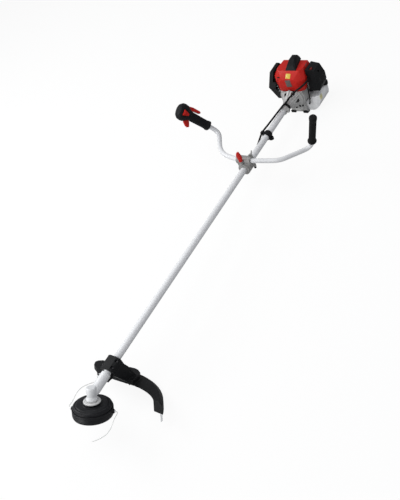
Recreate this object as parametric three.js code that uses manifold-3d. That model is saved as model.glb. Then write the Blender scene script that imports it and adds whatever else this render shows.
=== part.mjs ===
// A petrol string trimmer (brush cutter) with a bicycle-type handlebar.
// Millimetres, +Z up. The tool lies on level ground: the rubber pad of the engine stand and
// the lower edge of the debris shield's skirt touch z = 0, and +Y runs from head to engine.
import * as THREE from 'three';
import { ConvexGeometry } from 'three/addons/geometries/ConvexGeometry.js';
import { mergeVertices } from 'three/addons/utils/BufferGeometryUtils.js';
import Module from 'manifold-3d';

const wasm = await Module();
wasm.setup();

// ---------- driving dimensions ----------
const gap = 0.3; // between pieces that touch
const degree = Math.PI / 180;

const headTilt = 32 * degree; // head axis against the shaft's square
const tube = { radius: 13, wall: 1.5, front: 34, rear: 1504 };
const drive = { radius: 3.5, front: 10, rear: 1519 };
const bush = { length: 28, places: [300, 740, 1180] };

const gearbox = { radius: 17, waist: 15, top: 31.5, bottom: -15, wall: 2, flare: 19, neckRadius: 17, neckEnd: 88 };
const bevel = { coneDistance: 19.9, face: 7, gearTeeth: 16, pinionTeeth: 12, addendum: 1.1, dedendum: 1.3 };
const outputShaft = { radius: 4.5, top: 25.5, bottom: -58 };
const bearing = { width: 7, ring: 3 };

const flange = { radius: 29.5, top: -17, thickness: 5 };
const cover = { radius: 65.5, top: -29, skirtEnd: -42, wall: 2.6, bossRadius: 20 };
const drum = { radius: 69, bottom: -73, wall: 3, opening: 27.6, edge: 7 };
const eyelet = { radius: 4, hole: 1.7, reach: 7, height: -53, bearing: 26.6 * degree };
const spool = { radius: 58, hub: 19, top: -44, flange: 2.4 };
const knob = { radius: 27, bottom: -90, travel: 6 };
const lineRadius = 1.2;

const shield = { radius: 234, top: -20, slope: 12, bridge: 18, plate: 3.2, skirt: 45, wall: 3, from: -40, to: 60, inner: 153, end: 119 };
const bracket = { front: 95, rear: 148, halfWidth: 28.5, height: 20.5, boltX: 21.5, boltSpacing: 26, boltRadius: 5.5 };
const cutter = { width: 8, thickness: 1.6, tip: -99, root: -36, fromEnd: 15.5 };

const hanger = { y: 1303, length: 26, radius: 17.5, lug: 2 };
const handle = { y: 1115, z: 30.6, barRadius: 9.5, barWall: 1.6, twist: 12.9 * degree };
const clampBody = { radius: 26, halfLength: 26, saddleRadius: 17.5, halfWidth: 33 };
const wingBolt = { x: 26, dy: 14.5, seat: 42, top: 60, bottom: -20, radius: 3, boss: 7 };
const wingKnob = { x: -2, dy: -22, seat: 42, top: 89, reach: 12, bottom: 18, radius: 3, boss: 7 };
const barBends = { left: [141.6, 28, -13], right: [141.6, 28, -19.1], second: [220.9, 152.2, -41], end: [294.4, 108.8, 148.7] };
const bendRadius = { left: 30, right: 60, second: 40 };
const plainGrip = { from: 42, to: 211, radius: 14, dome: 15.2 };

const collar = { radius: 17.5, from: 1455, to: 1478 };
const avRing = { radius: 19.5, length: 12.5 };
const clutchHousing = { neckRadius: 19.5, baseRadius: 45, coneStart: 1500, coneEnd: 1545, flange: 53, wall: 3 };
const clutch = { drumRadius: 31, drumDepth: 20, drumWall: 2.5, rotorRadius: 26 };
const fan = { radius: 48, thickness: 16, blades: 9 };
const crankcase = { radius: 58, front: 1552.3, depth: 47, wall: 3, bodyRadius: 40, rear: 1656 };
const deck = { z: 33, thickness: 6, halfWidth: 51, front: 1549 };
const cylinder = { y: 1616, radius: 34, core: 24, top: 102, fins: 5, finThickness: 2.2 };
const hood = { front: 1550, ridge: 1577, rear: 1654, bottom: 33.6, crease: 86, top: 122, halfWidth: 86, wall: 2.6 };
const hump = { x: 5, halfWidth: 19, footRight: 32, height: 31, crestHalfWidth: 12 };
const guard = { outer: -111, inner: -88, wall: 2.4, chamfer: 9 };
const muffler = { outer: -103, inner: -44, front: 1578, rear: 1656, bottom: -14, top: 72 };
const filter = { inner: 70, outer: 124, front: 1593, rear: 1656, bottom: 6, top: 118, wall: 2.4 };
const carburettor = { from: 37, to: 66, y: 1622, z: 66, halfSize: 17 };
const tank = { left: -44, right: 101, front: 1589.5, rear: 1704, bottom: -94, top: -42, wall: 2, shoulder: 18 };
const fuelCap = { x: 91, y: 1684, radius: 14.5, neck: 9, height: 19 };
const starter = { radius: 58, front: 1656.3, depth: 34, wall: 2.5 };
const starterGrip = { x: -30, z: 52, lean: 25 * degree };
const stand = { y: 1581, drop: 96.5, plateTop: -88.5, plateThickness: 3, halfWidth: 44, front: 1574, rear: 1588 };
const cableRadius = 3.6;
const armCableRadius = 2.6;
const hoseRadius = 2.8;

// ---------- finishes ----------
const finish = (color, roughness, metalness) => new THREE.MeshStandardMaterial({ color, roughness, metalness });
const silver = finish(0xc9cbcc, 0.35, 0.85);
const casting = finish(0x9c9d9b, 0.5, 0.8);
const steel = finish(0x7d7f82, 0.35, 0.9);
const black = finish(0x1d1e20, 0.55, 0.05);
const rubber = finish(0x141415, 0.85, 0);
const red = finish(0xc4201a, 0.3, 0.05);
const translucent = finish(0xe4e6e6, 0.45, 0);
const nylon = finish(0xeff0ea, 0.5, 0);
const brass = finish(0xb58a4a, 0.4, 0.8);
const sooty = finish(0x2b2a29, 0.6, 0.5);

// ---------- solids ----------
// A closed geometry becomes a solid for joining and cutting, with its faces pointing out.
function solid(geometry) {
  geometry.deleteAttribute('normal');
  geometry.deleteAttribute('uv');
  const merged = mergeVertices(geometry, 1e-3);
  const position = merged.attributes.position;
  const corners = merged.index.array;
  const triVerts = [];
  let volume = 0;
  const [a, b, c] = [new THREE.Vector3(), new THREE.Vector3(), new THREE.Vector3()];
  for (let i = 0; i < corners.length; i += 3) {
    const [p, q, r] = [corners[i], corners[i + 1], corners[i + 2]];
    if (p === q || q === r || r === p) continue;
    triVerts.push(p, q, r);
    a.fromBufferAttribute(position, p);
    b.fromBufferAttribute(position, q);
    c.fromBufferAttribute(position, r);
    volume += a.dot(b.cross(c));
  }
  if (volume < 0) triVerts.reverse();
  const mesh = { numProp: 3, vertProperties: new Float32Array(position.array), triVerts: new Uint32Array(triVerts) };
  return new wasm.Manifold(new wasm.Mesh(mesh));
}

const join = (first, ...others) => others.reduce((whole, other) => whole.add(other), first);
const cut = (first, ...others) => others.reduce((whole, other) => whole.subtract(other), first);
const range = (count) => Array.from({ length: count }, (_, i) => i);
const point = (x, y, z) => new THREE.Vector3(x, y, z);

// A profile of [radius, height] pairs turned about the Y axis.
function turned(profile, sides = 24) {
  return new THREE.LatheGeometry(profile.map(([r, y]) => new THREE.Vector2(r, y)), sides);
}
const turnedAlong = (profile, sides) => solid(turned(profile, sides));
const turnedUp = (profile, sides) => solid(turned(profile, sides).rotateX(Math.PI / 2));

// A ring's closed profile between two radii and two heights.
const ringProfile = (inner, outer, low, high) => [[inner, low], [outer, low], [outer, high], [inner, high], [inner, low]];
const discProfile = (radius, low, high) => [[0, low], [radius, low], [radius, high], [0, high]];

// A round rod between two points.
function rod(from, to, radius, sides = 12, endRadius = radius) {
  const along = to.clone().sub(from);
  const geometry = new THREE.CylinderGeometry(endRadius, radius, along.length(), sides);
  geometry.applyQuaternion(new THREE.Quaternion().setFromUnitVectors(point(0, 1, 0), along.clone().normalize()));
  return solid(geometry.translate(...from.clone().add(to).multiplyScalar(0.5).toArray()));
}

// A block between two opposite corners.
function block(low, high) {
  const size = low.map((value, i) => high[i] - value);
  const middle = low.map((value, i) => (high[i] + value) / 2);
  return solid(new THREE.BoxGeometry(...size).translate(...middle));
}

const outline = (points) => new THREE.Shape(points.map(([x, y]) => new THREE.Vector2(x, y)));
const raised = (shape, low, high, curveSegments = 10) =>
  solid(new THREE.ExtrudeGeometry(shape, { depth: high - low, bevelEnabled: false, curveSegments }).translate(0, 0, low));

// A side view of [y, z] points carried across from one x to another.
function across(points, from, to) {
  const geometry = new THREE.ExtrudeGeometry(outline(points), { depth: to - from, bevelEnabled: false });
  return solid(geometry.rotateX(Math.PI / 2).rotateZ(Math.PI / 2).translate(from, 0, 0));
}

// A front view of [x, z] points carried along from one y to another.
function along(points, from, to) {
  const geometry = new THREE.ExtrudeGeometry(outline(points), { depth: to - from, bevelEnabled: false });
  return solid(geometry.rotateX(Math.PI / 2).translate(0, to, 0));
}

const hull = (points) => solid(new ConvexGeometry(points.map(([x, y, z]) => point(x, y, z))));

// Equal rings of points joined one to the next, closed at both ends by a fan.
function loft(rings) {
  const count = rings[0].length;
  const vertices = rings.flat().flatMap((p) => p.toArray());
  const index = [];
  rings.slice(1).forEach((_, level) => {
    for (let i = 0; i < count; i++) {
      const next = (i + 1) % count;
      const [a, b] = [level * count + i, level * count + next];
      index.push(a, b, b + count, a, b + count, a + count);
    }
  });
  [rings[0], rings[rings.length - 1]].forEach((ring, end) => {
    const middle = ring.reduce((sum, p) => sum.add(p), point(0, 0, 0)).divideScalar(count);
    const centre = vertices.length / 3;
    const base = end ? (rings.length - 1) * count : 0;
    vertices.push(...middle.toArray());
    for (let i = 0; i < count; i++) {
      const pair = [base + i, base + ((i + 1) % count)];
      index.push(centre, pair[end ? 0 : 1], pair[end ? 1 : 0]);
    }
  });
  const geometry = new THREE.BufferGeometry();
  geometry.setAttribute('position', new THREE.Float32BufferAttribute(vertices, 3));
  geometry.setIndex(index);
  return solid(geometry);
}

function circle(radius, sides) {
  return outline(range(sides).map((i) => [radius * Math.cos(i / sides * 2 * Math.PI), radius * Math.sin(i / sides * 2 * Math.PI)]));
}
const swept = (path, radius, sides, steps) =>
  solid(new THREE.ExtrudeGeometry(circle(radius, sides), { steps, extrudePath: path, bevelEnabled: false }));

// Straight runs joined by rounded corners.
function bentPath(points, radii) {
  const path = new THREE.CurvePath();
  let start = points[0];
  for (let i = 1; i < points.length - 1; i++) {
    const corner = points[i];
    const before = corner.clone().add(points[i - 1].clone().sub(corner).setLength(radii[i - 1]));
    const after = corner.clone().add(points[i + 1].clone().sub(corner).setLength(radii[i - 1]));
    path.add(new THREE.LineCurve3(start, before));
    path.add(new THREE.QuadraticBezierCurve3(before, corner, after));
    start = after;
  }
  path.add(new THREE.LineCurve3(start, points[points.length - 1]));
  return path;
}

// A tube with rings only at its ends and round its bends.
function bentTube(path, radius, sides, perBend = 5) {
  const bends = path.curves.filter((curve) => curve.isQuadraticBezierCurve3);
  const last = path.curves[path.curves.length - 1];
  const places = [[path.curves[0], 0], ...bends.flatMap((bend) => range(perBend + 1).map((i) => [bend, i / perBend])), [last, 1]];
  let across = null;
  let before = null;
  return loft(places.map(([curve, t]) => {
    const tangent = curve.getTangent(t);
    across = across ? across.applyQuaternion(new THREE.Quaternion().setFromUnitVectors(before, tangent))
      : point(0, 0, 1).projectOnPlane(tangent).normalize();
    before = tangent;
    const beside = tangent.clone().cross(across);
    return range(sides).map((i) => {
      const turn = i / sides * 2 * Math.PI;
      return curve.getPoint(t).addScaledVector(across, radius * Math.cos(turn)).addScaledVector(beside, radius * Math.sin(turn));
    });
  }));
}

function put(parent, name, piece, material) {
  const { numProp, vertProperties, triVerts } = piece.simplify(0.02).getMesh();
  const geometry = new THREE.BufferGeometry();
  const places = range(vertProperties.length / numProp).flatMap((i) => Array.from(vertProperties.subarray(i * numProp, i * numProp + 3)));
  geometry.setAttribute('position', new THREE.Float32BufferAttribute(places, 3));
  geometry.setIndex(Array.from(triVerts));
  const mesh = new THREE.Mesh(geometry, material);
  mesh.name = name;
  parent.add(mesh);
}

// ---------- frames ----------
// Along the shaft: Y on the shaft axis, origin where the head axis crosses it, Z the engine's up.
// Head frame: Z up the head axis, Y square to it and towards the engine.
const fromHead = (x, y, z) => point(x, y, z).applyAxisAngle(point(1, 0, 0), -headTilt);

// The whole tool leans until the lowest point of the shield's skirt is level with the stand.
function groundLean() {
  const lowest = shield.top - shield.skirt;
  const leans = range(51).map((i) => {
    const turn = (shield.from + (shield.to - shield.from) * i / 50) * degree;
    const edge = fromHead(shield.radius * Math.sin(turn), shield.radius * Math.cos(turn), lowest);
    return Math.atan2(-stand.drop - edge.z, stand.y - edge.y);
  });
  return Math.max(...leans);
}
const lean = groundLean();
const groundAt = (y) => -stand.drop + (y - stand.y) * Math.tan(lean);

// ---------- shaft ----------
function shaftTube() {
  return turnedAlong(ringProfile(tube.radius - tube.wall, tube.radius, tube.front, tube.rear), 18);
}

function driveShaft() {
  const tip = drive.radius - 0.8;
  return turnedAlong([
    [0, drive.front], [tip, drive.front], [drive.radius, drive.front + 1],
    [drive.radius, drive.rear - 1], [tip, drive.rear], [0, drive.rear],
  ], 12);
}

// A bush that holds the drive shaft central in the tube, with a groove round its middle.
function shaftBush(middle) {
  const outer = tube.radius - tube.wall - gap;
  const inner = drive.radius + gap;
  const half = bush.length / 2;
  const groove = outer - 2.5;
  return turnedAlong([
    [inner, middle - half], [outer, middle - half], [outer, middle - half / 3], [groove, middle - half / 3 + 2],
    [groove, middle + half / 3 - 2], [outer, middle + half / 3], [outer, middle + half], [inner, middle + half],
    [inner, middle - half],
  ], 14);
}

// ---------- gearbox ----------
const lowerBearingTop = gearbox.bottom + 1 + bearing.width;

function gearboxHousing() {
  const { radius, waist, top, bottom, flare, neckRadius, neckEnd, wall } = gearbox;
  const body = turnedUp([
    [0, bottom], [flare, bottom], [flare, bottom + 6], [waist, bottom + 12], [radius, top - 18],
    [radius, top - 3], [radius - 3, top], [0, top],
  ], 18);
  const neck = turnedAlong([
    [0, 0], [neckRadius - 3, 0], [neckRadius, 24], [neckRadius, neckEnd - 1], [neckRadius - 1, neckEnd], [0, neckEnd],
  ], 18);
  const lugOut = neckRadius + 6;
  const lug = across([[neckEnd - 22, -6.5], [neckEnd - 8, -6.5], [neckEnd - 8, 6.5], [neckEnd - 22, 6.5]], -lugOut, -neckRadius + 4);
  const chamber = turnedUp(discProfile(waist - wall, bottom + 1, top - 4), 16);
  const mouth = turnedUp(discProfile(outputShaft.radius + 3.5, bottom - 1, bottom + 2), 14);
  const shaftBore = turnedAlong(discProfile(tube.radius + gap, tube.front - gap, neckEnd + 1), 16);
  const pinionBore = turnedAlong(discProfile(waist - wall - 2, drive.front - 2, tube.front), 14);
  const slit = block([-lugOut - 1, tube.front + 6, -0.9], [-tube.radius + 2, neckEnd + 1, 0.9]);
  const tilted = (piece) => piece.rotate([-headTilt / degree, 0, 0]);
  return cut(join(tilted(body), neck, lug), tilted(chamber), tilted(mouth), shaftBore, pinionBore, slit);
}

// One end of a bevel gear: the outline of its teeth on a cone whose tip is at the origin.
function toothRing(teeth, coneAngle, distance, phase) {
  const pitch = distance * Math.sin(coneAngle);
  const scale = distance / bevel.coneDistance;
  const tip = pitch + bevel.addendum * scale * Math.cos(coneAngle);
  const root = pitch - bevel.dedendum * scale * Math.cos(coneAngle);
  const tipHeight = (distance * Math.cos(coneAngle)) - bevel.addendum * scale * Math.sin(coneAngle);
  const rootHeight = (distance * Math.cos(coneAngle)) + bevel.dedendum * scale * Math.sin(coneAngle);
  return range(teeth).flatMap((i) => [[-0.29, root, rootHeight], [-0.13, tip, tipHeight], [0.13, tip, tipHeight],
    [0.29, root, rootHeight]].map(([share, radius, height]) => {
    const turn = phase + (i + share) / teeth * 2 * Math.PI;
    return point(radius * Math.cos(turn), height, -radius * Math.sin(turn));
  }));
}

function bevelGearBody(teeth, coneAngle, phase, bore) {
  const near = toothRing(teeth, coneAngle, bevel.coneDistance - bevel.face, phase);
  const far = toothRing(teeth, coneAngle, bevel.coneDistance, phase);
  const back = far.map((p) => point(p.x, 0, p.z).setLength(bevel.coneDistance * Math.sin(coneAngle) - 2)
    .setY(bevel.coneDistance * Math.cos(coneAngle) + 3));
  const hole = turnedAlong(discProfile(bore, 0, bevel.coneDistance * 2), 14);
  return cut(loft([near, far, back]), hole);
}

// Cone angles of a pair whose axes meet at the head's angle to the shaft.
const axesAngle = Math.PI / 2 - headTilt;
const pinionCone = Math.atan2(Math.sin(axesAngle), bevel.gearTeeth / bevel.pinionTeeth + Math.cos(axesAngle));
const gearCone = axesAngle - pinionCone;

const bevelPinion = () => bevelGearBody(bevel.pinionTeeth, pinionCone, -Math.PI / 2, drive.radius + gap);
const bevelGear = () => bevelGearBody(bevel.gearTeeth, gearCone, Math.PI + Math.PI / bevel.gearTeeth * 1
  - Math.PI / 2 * 3, outputShaft.radius + gap).rotate([90, 0, 0]);

function outputShaftPiece() {
  const { radius, top, bottom } = outputShaft;
  const shoulder = lowerBearingTop + 1;
  return turnedUp([
    [0, bottom], [radius, bottom], [radius, shoulder - 1], [radius + 2, shoulder - 1 + gap], [radius + 2, shoulder + 2],
    [radius, shoulder + 3], [radius, top - 1], [radius - 1, top], [0, top],
  ], 14);
}

const outputBearing = () => turnedUp(ringProfile(outputShaft.radius + gap, gearbox.waist - gearbox.wall - gap,
  gearbox.bottom + 1 + gap, lowerBearingTop), 24);

// ---------- trimmer head ----------
function holderFlange() {
  const { radius, top, thickness } = flange;
  const low = top - thickness;
  const inner = outputShaft.radius + gap;
  return turnedUp([
    [inner, low], [radius - 1, low], [radius, low + 1], [radius, top - 1.5], [radius - 1.5, top],
    [radius * 0.55, top], [radius * 0.5, top + 1.4], [inner, top + 1.4], [inner, low],
  ], 20);
}

function headCover() {
  const { radius, top, skirtEnd, wall, bossRadius } = cover;
  const seat = flange.top - flange.thickness - gap;
  const inner = outputShaft.radius + gap;
  return turnedUp([
    [inner, seat], [bossRadius, seat], [bossRadius + 6, top + 1.5], [radius - 13, top + 1.5], [radius - 10, top - 0.5],
    [radius - 5, top], [radius, top - 5], [radius, skirtEnd], [radius - wall, skirtEnd], [radius - wall, top - 6],
    [radius - 7, top - wall], [bossRadius - 3, top - wall], [inner, top - wall - 4], [inner, seat],
  ], 32);
}

const eyeletTurn = (side) => eyelet.bearing + side * Math.PI;
const alongEyelet = (side, reach, height = eyelet.height) =>
  point(reach * Math.cos(eyeletTurn(side)), reach * Math.sin(eyeletTurn(side)), height);

function headDrum() {
  const { radius, bottom, wall, opening, edge } = drum;
  const rim = cover.skirtEnd - gap;
  const shell = turnedUp([
    [opening, bottom], [radius - edge, bottom], [radius - 2, bottom + edge * 0.45], [radius, bottom + edge * 1.3],
    [radius, rim - 1], [radius - 1, rim], [radius - wall, rim], [radius - wall, bottom + edge * 1.3],
    [radius - edge, bottom + wall], [opening, bottom + wall], [opening, bottom],
  ], 24);
  const bosses = [0, 1].map((side) =>
    rod(alongEyelet(side, radius - wall), alongEyelet(side, radius + eyelet.reach - 2), eyelet.radius + 5, 16, eyelet.radius + 2.5));
  const holes = [0, 1].map((side) =>
    rod(alongEyelet(side, radius - wall - 8), alongEyelet(side, radius + eyelet.reach + 2), eyelet.radius + gap, 16));
  const inside = turnedUp(discProfile(radius - wall, bottom + edge * 1.3, rim), 24);
  return cut(join(shell, cut(join(...bosses), inside)), ...holes);
}

function lineEyelet(side) {
  const from = drum.radius - drum.wall - 1;
  const out = drum.radius + eyelet.reach;
  const body = rod(alongEyelet(side, from), alongEyelet(side, out), eyelet.radius, 16);
  const lip = rod(alongEyelet(side, out - 1.6), alongEyelet(side, out), eyelet.radius + 1.5, 16);
  const past = rod(alongEyelet(side, out - 1.9), alongEyelet(side, out - 1.6 + gap / 2), eyelet.radius + 1.5, 16, eyelet.radius);
  const hole = rod(alongEyelet(side, from - 1), alongEyelet(side, out + 1), eyelet.hole, 12);
  return cut(join(body, lip, past), hole);
}

function lineSpool() {
  const { radius, hub, top, flange: rib } = spool;
  const bottom = drum.bottom + drum.wall + gap;
  const inner = outputShaft.radius + 2;
  const middle = (top + bottom) / 2;
  return turnedUp([
    [inner, bottom], [spool.radius, bottom], [radius, bottom + rib], [hub + 12, bottom + rib], [hub + 12, middle - rib / 2],
    [radius, middle - rib / 2], [radius, middle + rib / 2], [hub + 12, middle + rib / 2], [hub + 12, top - rib],
    [radius, top - rib], [radius, top], [hub + 3, top], [hub + 3, bottom + 8], [inner, bottom + 8], [inner, bottom],
  ], 20);
}

// The spring that pushes the spool and bump knob down, seated round the shaft inside the spool.
function bumpSpring() {
  const low = drum.bottom + drum.wall + gap + 8 + gap + 1;
  const high = cover.top - cover.wall - 4 - gap - 1;
  const turns = 4;
  const radius = spool.hub - 3;
  class Coil extends THREE.Curve {
    getPoint(t, target = new THREE.Vector3()) {
      const turn = t * turns * 2 * Math.PI;
      return target.set(radius * Math.cos(turn), radius * Math.sin(turn), low + (high - low) * t);
    }
  }
  return swept(new Coil(), 0.9, 5, turns * 11);
}

function bumpKnob() {
  const { radius, bottom } = knob;
  const top = drum.bottom + drum.wall;
  const ribs = range(8).map((i) => {
    const turn = i / 8 * 2 * Math.PI;
    return rod(point(radius * 0.93 * Math.cos(turn), radius * 0.93 * Math.sin(turn), bottom + 7),
      point(radius * 0.93 * Math.cos(turn), radius * 0.93 * Math.sin(turn), drum.bottom - knob.travel - 1), 1.9, 8);
  });
  const body = turnedUp([
    [0, bottom], [radius - 11, bottom], [radius - 4, bottom + 2], [radius - 1, bottom + 6], [radius, top], [0, top],
  ], 18);
  const pocket = turnedUp(discProfile(outputShaft.radius + 2, outputShaft.bottom - 12, top + 1), 14);
  return cut(join(body, ...ribs), pocket);
}

// One free end of cutting line, out of its eyelet and swept back by its own curl.
const lineRoute = [[0, 0], [4, -0.4], [8, -3], [10.5, -8], [11.2, -14], [10.8, -22], [10.2, -32], [10.4, -44],
  [11.6, -58], [13.4, -74], [14.6, -90], [14.3, -107], [10.8, -130.7], [-0.7, -152], [-20.7, -173.3]];
function lineEnd(side) {
  const outward = alongEyelet(side, 1, 0);
  const sideways = point(-outward.y, outward.x, 0);
  const start = drum.radius + eyelet.reach + gap;
  const points = lineRoute.map(([out, over]) =>
    outward.clone().multiplyScalar(start + out).addScaledVector(sideways, over).setZ(eyelet.height));
  return swept(new THREE.CatmullRomCurve3(points), lineRadius, 8, 22);
}

// ---------- debris shield ----------
const rimPoint = (turn, radius = shield.radius) => [radius * Math.sin(turn * degree), radius * Math.cos(turn * degree)];

// The plate's outline, past the rim: nearly straight inside, with a rounded wing on the left.
function shieldOutline() {
  const { from, inner, end } = shield;
  const reach = shield.radius + 6;
  const shape = new THREE.Shape();
  const [wingX, wingY] = rimPoint(from, reach);
  const endX = Math.sqrt(reach ** 2 - end ** 2);
  shape.moveTo(endX - 46, end);
  shape.quadraticCurveTo(endX - 90, inner, 40, inner);
  shape.lineTo(-112, inner + 1);
  shape.quadraticCurveTo(-136, inner + 2, wingX + 2, wingY - 16);
  shape.lineTo(wingX, wingY);
  shape.absarc(0, 0, reach, Math.PI / 2 - from * degree, Math.asin(end / reach), true);
  shape.lineTo(endX - 46, end);
  return shape;
}

// Skirt, sloping shoulder and flat top of the shield as one turned form, inset by a wall for its inside.
function shieldTurned(inset) {
  const { radius, top, skirt, slope, plate } = shield;
  const low = top - skirt - (inset ? 1 : 0);
  const high = top - (inset ? plate : 0);
  return turnedUp([[0, low], [radius - inset, low], [radius - inset, top - slope - inset / 2],
    [radius - slope - inset / 2, high], [0, high]], 64);
}

// The hollow bridge over the root of the plate, from the lobe on the left to the shoulder on the right.
const bridgePlaces = [[46, 150], [38, 192], [29, 208], [10, 219], [-8, 222], [-44, 215], [-112, 209], [-146, 202],
  [-160, 190], [-162, 177], [-150, 160], [-124, 147], [-83, 141], [-30, 144]];
function bridgeBody() {
  const { top, plate } = shield;
  const middle = [-50, 180];
  const inside = bridgePlaces.map(([x, y]) => {
    const away = new THREE.Vector2(x - middle[0], y - middle[1]);
    return away.setLength(away.length() - 4).add(new THREE.Vector2(...middle)).toArray();
  });
  const outside = raised(outline(bridgePlaces), top - plate / 2, top + shield.bridge);
  return { outside, inside: raised(outline(inside), top - plate - 1, top + shield.bridge - shield.wall) };
}

function debrisShield() {
  const { top, plate, skirt, wall, end, radius } = shield;
  const endX = Math.sqrt(radius ** 2 - end ** 2);
  const sheet = raised(shieldOutline(), top - skirt, top, 8);
  const bridge = bridgeBody();
  const endWall = block([endX - 40, end, top - skirt], [endX - 1, end + wall, top - plate / 2]);
  const ribs = [-24, 8, 32].map((turn) => {
    const [x, y] = rimPoint(turn, radius - 1.5);
    const inside = shield.inner + 2;
    const [lx, ly] = [x * inside / y, inside];
    const shape = outline([[lx - 1.2, ly], [lx + 1.2, ly], [x + 1.2, y - 1], [x - 1.2, y - 1]]);
    return raised(shape, top - 10, top - plate / 2);
  });
  const hollow = cut(bridge.inside, block([-300, -20, top - plate - 2], [300, shield.inner + 3, top + 40]));
  const shell = join(cut(sheet, shieldTurned(wall)), endWall, ...ribs).intersect(shieldTurned(0));
  const guardBody = cut(join(shell, bridge.outside), hollow).rotate([-headTilt / degree, 0, 0]);

  // The post rises square to the shaft and ends in the lower half of the tube clamp.
  const { front, rear, halfWidth } = bracket;
  const foot = fromHead(0, shield.inner + 4, top - plate / 2);
  const heel = fromHead(0, radius - 30, top - plate / 2);
  const side = [[front, -gap / 2], [front, -16], [foot.y, foot.z], [heel.y, heel.z], [rear + 6, -40], [rear, -16], [rear, -gap / 2]];
  const post = across(side, -halfWidth, halfWidth);
  const inner = across([[front + 12, -26], [foot.y + 6, foot.z - 3], [heel.y - 22, heel.z - 6], [rear - 10, -46], [rear - 14, -26]],
    -halfWidth + 4, halfWidth - 4);
  const web = across([[front + 8, -22], [foot.y + 2, foot.z + 2], [heel.y - 18, heel.z + 14], [rear - 8, -42]], -1.5, 1.5);
  const tongue = across([[gearbox.neckEnd - 18, -gearbox.neckRadius - 0.4], [gearbox.neckEnd + 0.4, -gearbox.neckRadius - 0.4],
    [gearbox.neckEnd + 0.6, -tube.radius - 0.6], [front + 4, -tube.radius - 0.6], [front + 4, -34], [front - 8, -31], [gearbox.neckEnd - 18, -26]], -7, 7);
  const bore = turnedAlong(discProfile(tube.radius + gap, front - 30, rear + 2), 18);
  const boltHoles = boltPlaces().map(([x, y]) => rod(point(x, y, -12), point(x, y, 1), 2.6, 12));
  return cut(join(cut(join(post, guardBody), inner), web, tongue), bore, ...boltHoles);
}

function boltPlaces() {
  const middle = (bracket.front + bracket.rear) / 2;
  return [-1, 1].flatMap((sideways) => [-1, 1].map((lengthways) =>
    [sideways * bracket.boltX, middle + lengthways * bracket.boltSpacing / 2]));
}

function shieldClamp() {
  const { front, rear, halfWidth, height, boltRadius } = bracket;
  const arch = [[-halfWidth, gap / 2], [-halfWidth, 11], [-halfWidth + 4, 16], [-15, height], [15, height],
    [halfWidth - 4, 16], [halfWidth, 11], [halfWidth, gap / 2]];
  const body = along(arch, front, rear);
  const bore = turnedAlong(discProfile(tube.radius + gap, front - 1, rear + 1), 18);
  const pockets = boltPlaces().flatMap(([x, y]) =>
    [rod(point(x, y, 11), point(x, y, height + 4), boltRadius, 14), rod(point(x, y, -1), point(x, y, 13), 2.6, 10)]);
  return cut(body, bore, ...pockets);
}

// The steel blade that trims the line, screwed to the shield's end wall.
function lineCutter() {
  const { width, thickness, tip, root, fromEnd } = cutter;
  const x = Math.sqrt(shield.radius ** 2 - shield.end ** 2) - fromEnd;
  const blade = [[x, root], [x + width, root], [x + width, tip + 7], [x + 1, tip]];
  const geometry = new THREE.ExtrudeGeometry(outline(blade), { depth: thickness, bevelEnabled: false });
  return solid(geometry.rotateX(Math.PI / 2).translate(0, shield.end + shield.wall + gap + thickness, 0));
}

// ---------- shaft fittings ----------
const cableAtHanger = point(-21.5, hanger.y, 12);

function hangerClamp() {
  const { y, length, radius, lug } = hanger;
  const [front, rear] = [y - length / 2, y + length / 2];
  const ring = turnedAlong(discProfile(radius, front, rear), 18);
  const ear = block([8, front + 4, -radius - 3], [radius + lug, rear - 4, -radius + 9]);
  const eye = rod(point(radius + lug - 2, y, -radius - 3), point(radius + lug - 2, y, -radius + 9), 8, 20);
  const clip = rod(cableAtHanger.clone().setY(y - 6), cableAtHanger.clone().setY(y + 6), cableRadius + 3.4, 16);
  const arm = block([-21.5, y - 6, 0], [-6, y + 6, 15]);
  const cableHole = rod(cableAtHanger.clone().setY(y - 8), cableAtHanger.clone().setY(y + 8), cableRadius + 1.3, 16);
  const strapHole = rod(point(radius + lug - 2, y, -radius - 6), point(radius + lug - 2, y, -radius + 12), 4.5, 16);
  const bore = turnedAlong(discProfile(tube.radius + gap, front - 1, rear + 1), 18);
  const slit = block([tube.radius - 3, front - 1, -7], [radius + 1, rear + 1, -5.4]);
  return cut(join(ring, ear, eye, clip, arm), bore, cableHole, strapHole, slit);
}

const barAxis = (x) => point(x, handle.y, handle.z);
const boltAt = ({ x, dy }, z) => point(x, handle.y + dy, z);

function handleClampBase() {
  const { radius, halfLength, saddleRadius, halfWidth } = clampBody;
  const barrel = turnedAlong(discProfile(radius, handle.y - halfLength, handle.y + halfLength), 18);
  const saddle = rod(barAxis(-halfWidth), barAxis(halfWidth), saddleRadius, 28);
  const web = across([[handle.y - 16, 0], [handle.y + 16, 0], [handle.y + saddleRadius, handle.z],
    [handle.y - saddleRadius, handle.z]], -halfWidth + 5, halfWidth - 5);
  const bosses = [rod(boltAt(wingBolt, -12), boltAt(wingBolt, handle.z), wingBolt.boss, 20),
    rod(boltAt(wingKnob, 8), boltAt(wingKnob, handle.z), wingKnob.boss, 20)];
  const above = block([-60, handle.y - 60, handle.z - gap / 2], [60, handle.y + 60, handle.z + 60]);
  const bore = turnedAlong(discProfile(tube.radius + gap, handle.y - 40, handle.y + 40), 18);
  const barBore = rod(barAxis(-halfWidth - 4), barAxis(halfWidth + 4), handle.barRadius + gap, 28);
  const holes = [rod(boltAt(wingBolt, -30), boltAt(wingBolt, 60), wingBolt.radius + gap, 16),
    rod(boltAt(wingKnob, wingKnob.bottom - gap), boltAt(wingKnob, 60), wingKnob.radius + gap, 16)];
  const slit = block([-0.9, handle.y - 40, -radius - 2], [0.9, handle.y + 40, -tube.radius + 2]);
  return cut(join(barrel, saddle, web, ...bosses), above, bore, barBore, slit, ...holes);
}

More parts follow.
